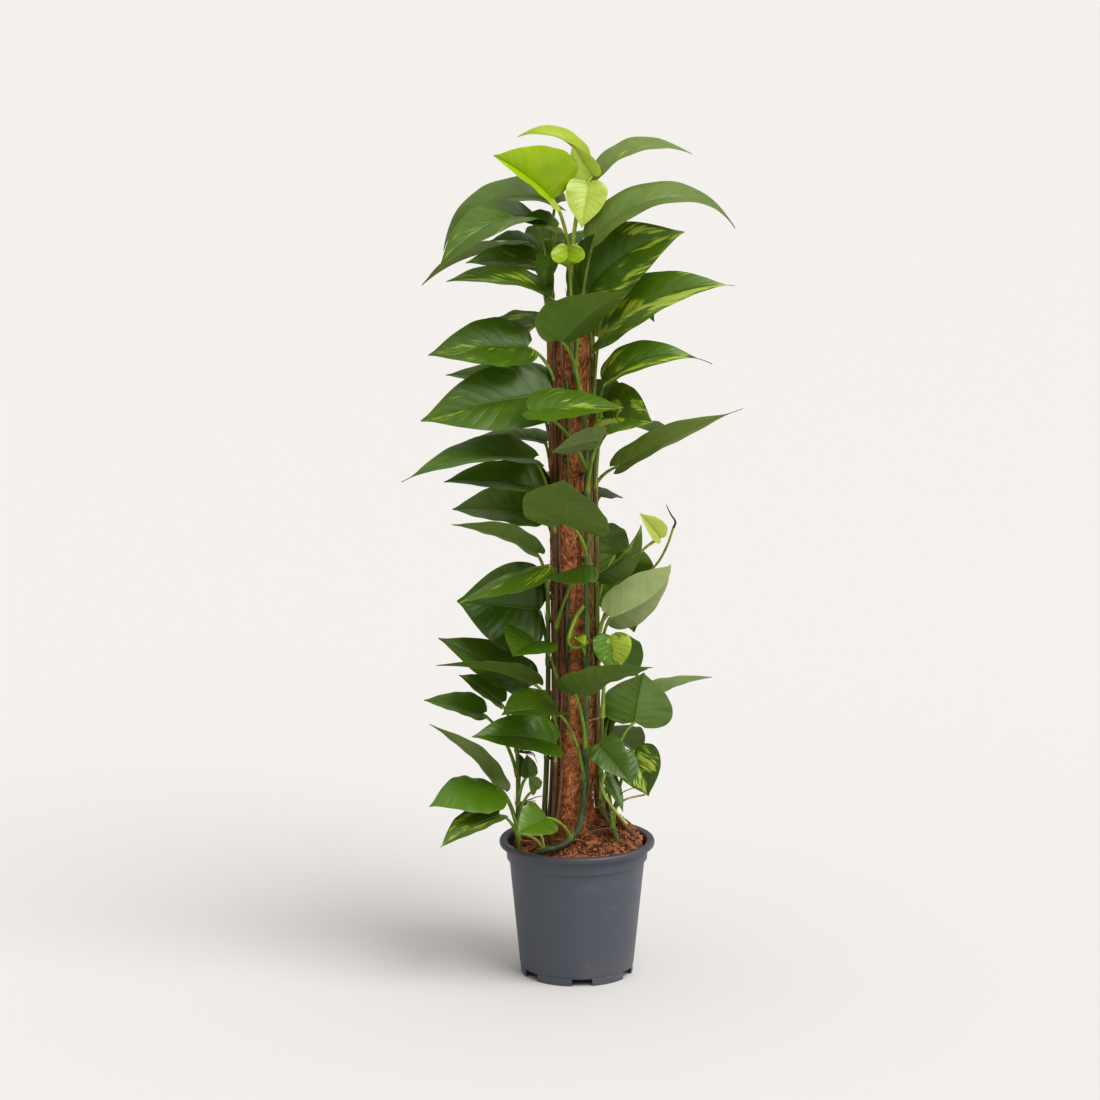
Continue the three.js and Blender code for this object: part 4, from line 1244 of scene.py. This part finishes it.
class StageSettings(bpy.types.PropertyGroup):
    """Floor and light of the studio."""

    floor: screen_colour("Floor", "Colour of the floor", (0.84, 0.832, 0.825))
    sun: bpy.props.FloatProperty(
        name="Key", description="Strength of the key light", default=1.75, min=0, max=20)
    sun_width: bpy.props.FloatProperty(
        name="Softness", description="Angle that the key light fills", default=math.radians(42),
        min=0, max=math.pi, subtype="ANGLE")
    sky: bpy.props.FloatProperty(
        name="Fill", description="Strength of the light from all sides", default=0.65,
        min=0, max=10)


# Operators


class POTHOS_OT_pot(bpy.types.Operator):
    """Makes the nursery pot with its rolled lip, notched foot and drain holes"""

    bl_idname = "pothos.pot"
    bl_label = "Pot"

    def execute(self, context):
        pot = pot_surface().mesh("nursery_pot", [pot_paint(context.scene.pothos_pot)], 40)
        drained(pot)
        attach(pot, "root")
        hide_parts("pot")
        return {"FINISHED"}


class POTHOS_OT_soil(bpy.types.Operator):
    """Makes the crumbly heap of soil"""

    bl_idname = "pothos.soil"
    bl_label = "Soil"

    def execute(self, context):
        soil = soil_surface(context.scene.pothos_soil).mesh("crumbly_soil", [soil_paint()], 80)
        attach(soil, "root")
        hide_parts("soil")
        return {"FINISHED"}


class POTHOS_OT_pole(bpy.types.Operator):
    """Makes the coir pole with its loose fibres"""

    bl_idname = "pothos.pole"
    bl_label = "Coir pole"

    def execute(self, context):
        pole = coir_surface(context.scene.pothos_pole).mesh("fibrous_pole", [coir_paint()], 80)
        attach(pole, "root")
        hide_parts("coir_pole")
        return {"FINISHED"}


class POTHOS_OT_stems(bpy.types.Operator):
    """Makes every leafy stem with its roots, stalks and blades"""

    bl_idname = "pothos.stems"
    bl_label = "Leafy stems"

    def execute(self, context):
        settings = context.scene.pothos_foliage
        paints = [leaf_paint(settings), stalk_paint()]
        for number, (name, vine) in enumerate(VINES.items()):
            surface = Surface()
            line, far, nodes = add_stem(surface, vine, number)
            add_roots(surface, line, far, nodes, number)
            add_twigs(surface, name)
            for index, shape in enumerate(vine["leaves"]):
                add_leaf(surface, line, shape, number * SEEDS_PER_STEM + index, settings)
            stem = surface.mesh("leafy_" + name, paints, 60)
            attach(stem, "root")
            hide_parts(name)
        return {"FINISHED"}


class POTHOS_OT_stage(bpy.types.Operator):
    """Makes the floor, the lights and the camera"""

    bl_idname = "pothos.stage"
    bl_label = "Studio"

    def execute(self, context):
        settings = context.scene.pothos_stage
        mesh = bpy.data.meshes.new("floor")
        far = FLOOR_REACH
        corners = [(-far, -far, 0), (far, -far, 0), (far, far, 0), (-far, far, 0)]
        mesh.from_pydata(corners, [], [(0, 1, 2, 3)])
        paint = Paint("floor", Base_Color=colour4(settings.floor), Roughness=0.9)
        mesh.materials.append(paint.material)
        placed("floor", mesh)
        sun = bpy.data.lights.new("key", "SUN")
        sun.energy = settings.sun
        sun.angle = settings.sun_width
        key = placed("key", sun)
        key.rotation_euler = (math.radians(KEY_TIP), 0, math.radians(KEY_TURN))
        world = bpy.data.worlds.new("studio")
        world.use_nodes = True
        background = world.node_tree.nodes["Background"]
        background.inputs["Color"].default_value = (1, 0.98, 0.96, 1)
        sky = Nodes(world.node_tree)
        x, y, z = sky.parts(sky.node("TexCoord", {}, output=0))
        horizon = 1 - abs(z).rise(0.02, 0.16)
        level = z.rise(0.0, 0.9) * 0.75 + x * 0.25 - y * 0.1 + 0.5 + horizon * 0.85
        sky.feed(background.inputs["Strength"], level * settings.sky)
        context.scene.world = world
        context.scene.view_settings.view_transform = "Standard"
        context.scene.view_settings.look = "Medium High Contrast"
        lens = bpy.data.cameras.new("camera")
        lens.sensor_width = 36
        lens.lens = CAMERA_LENS
        lens.clip_end = 300
        camera = placed("camera", lens)
        camera.location = CAMERA_PLACE
        camera.rotation_euler = (math.radians(90 - CAMERA_DIP), 0, 0)
        context.scene.camera = camera
        return {"FINISHED"}


class POTHOS_PT_panel(bpy.types.Panel):
    """Lists the settings and the steps"""

    bl_idname = "POTHOS_PT_panel"
    bl_label = "Potted pothos"
    bl_space_type = "VIEW_3D"
    bl_region_type = "UI"
    bl_category = "Pothos"

    def draw(self, context):
        for key, (_, steps) in GROUPS.items():
            box = self.layout.box()
            group = getattr(context.scene, key)
            for prop in group.__annotations__:
                box.prop(group, prop)
            for step in steps:
                box.operator(step.bl_idname)


GROUPS = {
    "pothos_pot": (PotSettings, [POTHOS_OT_pot]),
    "pothos_soil": (SoilSettings, [POTHOS_OT_soil]),
    "pothos_pole": (PoleSettings, [POTHOS_OT_pole]),
    "pothos_foliage": (FoliageSettings, [POTHOS_OT_stems]),
    "pothos_stage": (StageSettings, [POTHOS_OT_stage]),
}


def register():
    for key, (settings, steps) in GROUPS.items():
        bpy.utils.register_class(settings)
        setattr(bpy.types.Scene, key, bpy.props.PointerProperty(type=settings))
        for step in steps:
            bpy.utils.register_class(step)
    bpy.utils.register_class(POTHOS_PT_panel)


def unregister():
    bpy.utils.unregister_class(POTHOS_PT_panel)
    for key, (settings, steps) in GROUPS.items():
        delattr(bpy.types.Scene, key)
        for step in reversed(steps):
            bpy.utils.unregister_class(step)
        bpy.utils.unregister_class(settings)


def main():
    register()
    bpy.ops.pothos.stage()
    bpy.ops.pothos.pot()
    bpy.ops.pothos.soil()
    bpy.ops.pothos.pole()
    bpy.ops.pothos.stems()


if __name__ == "__main__":
    main()
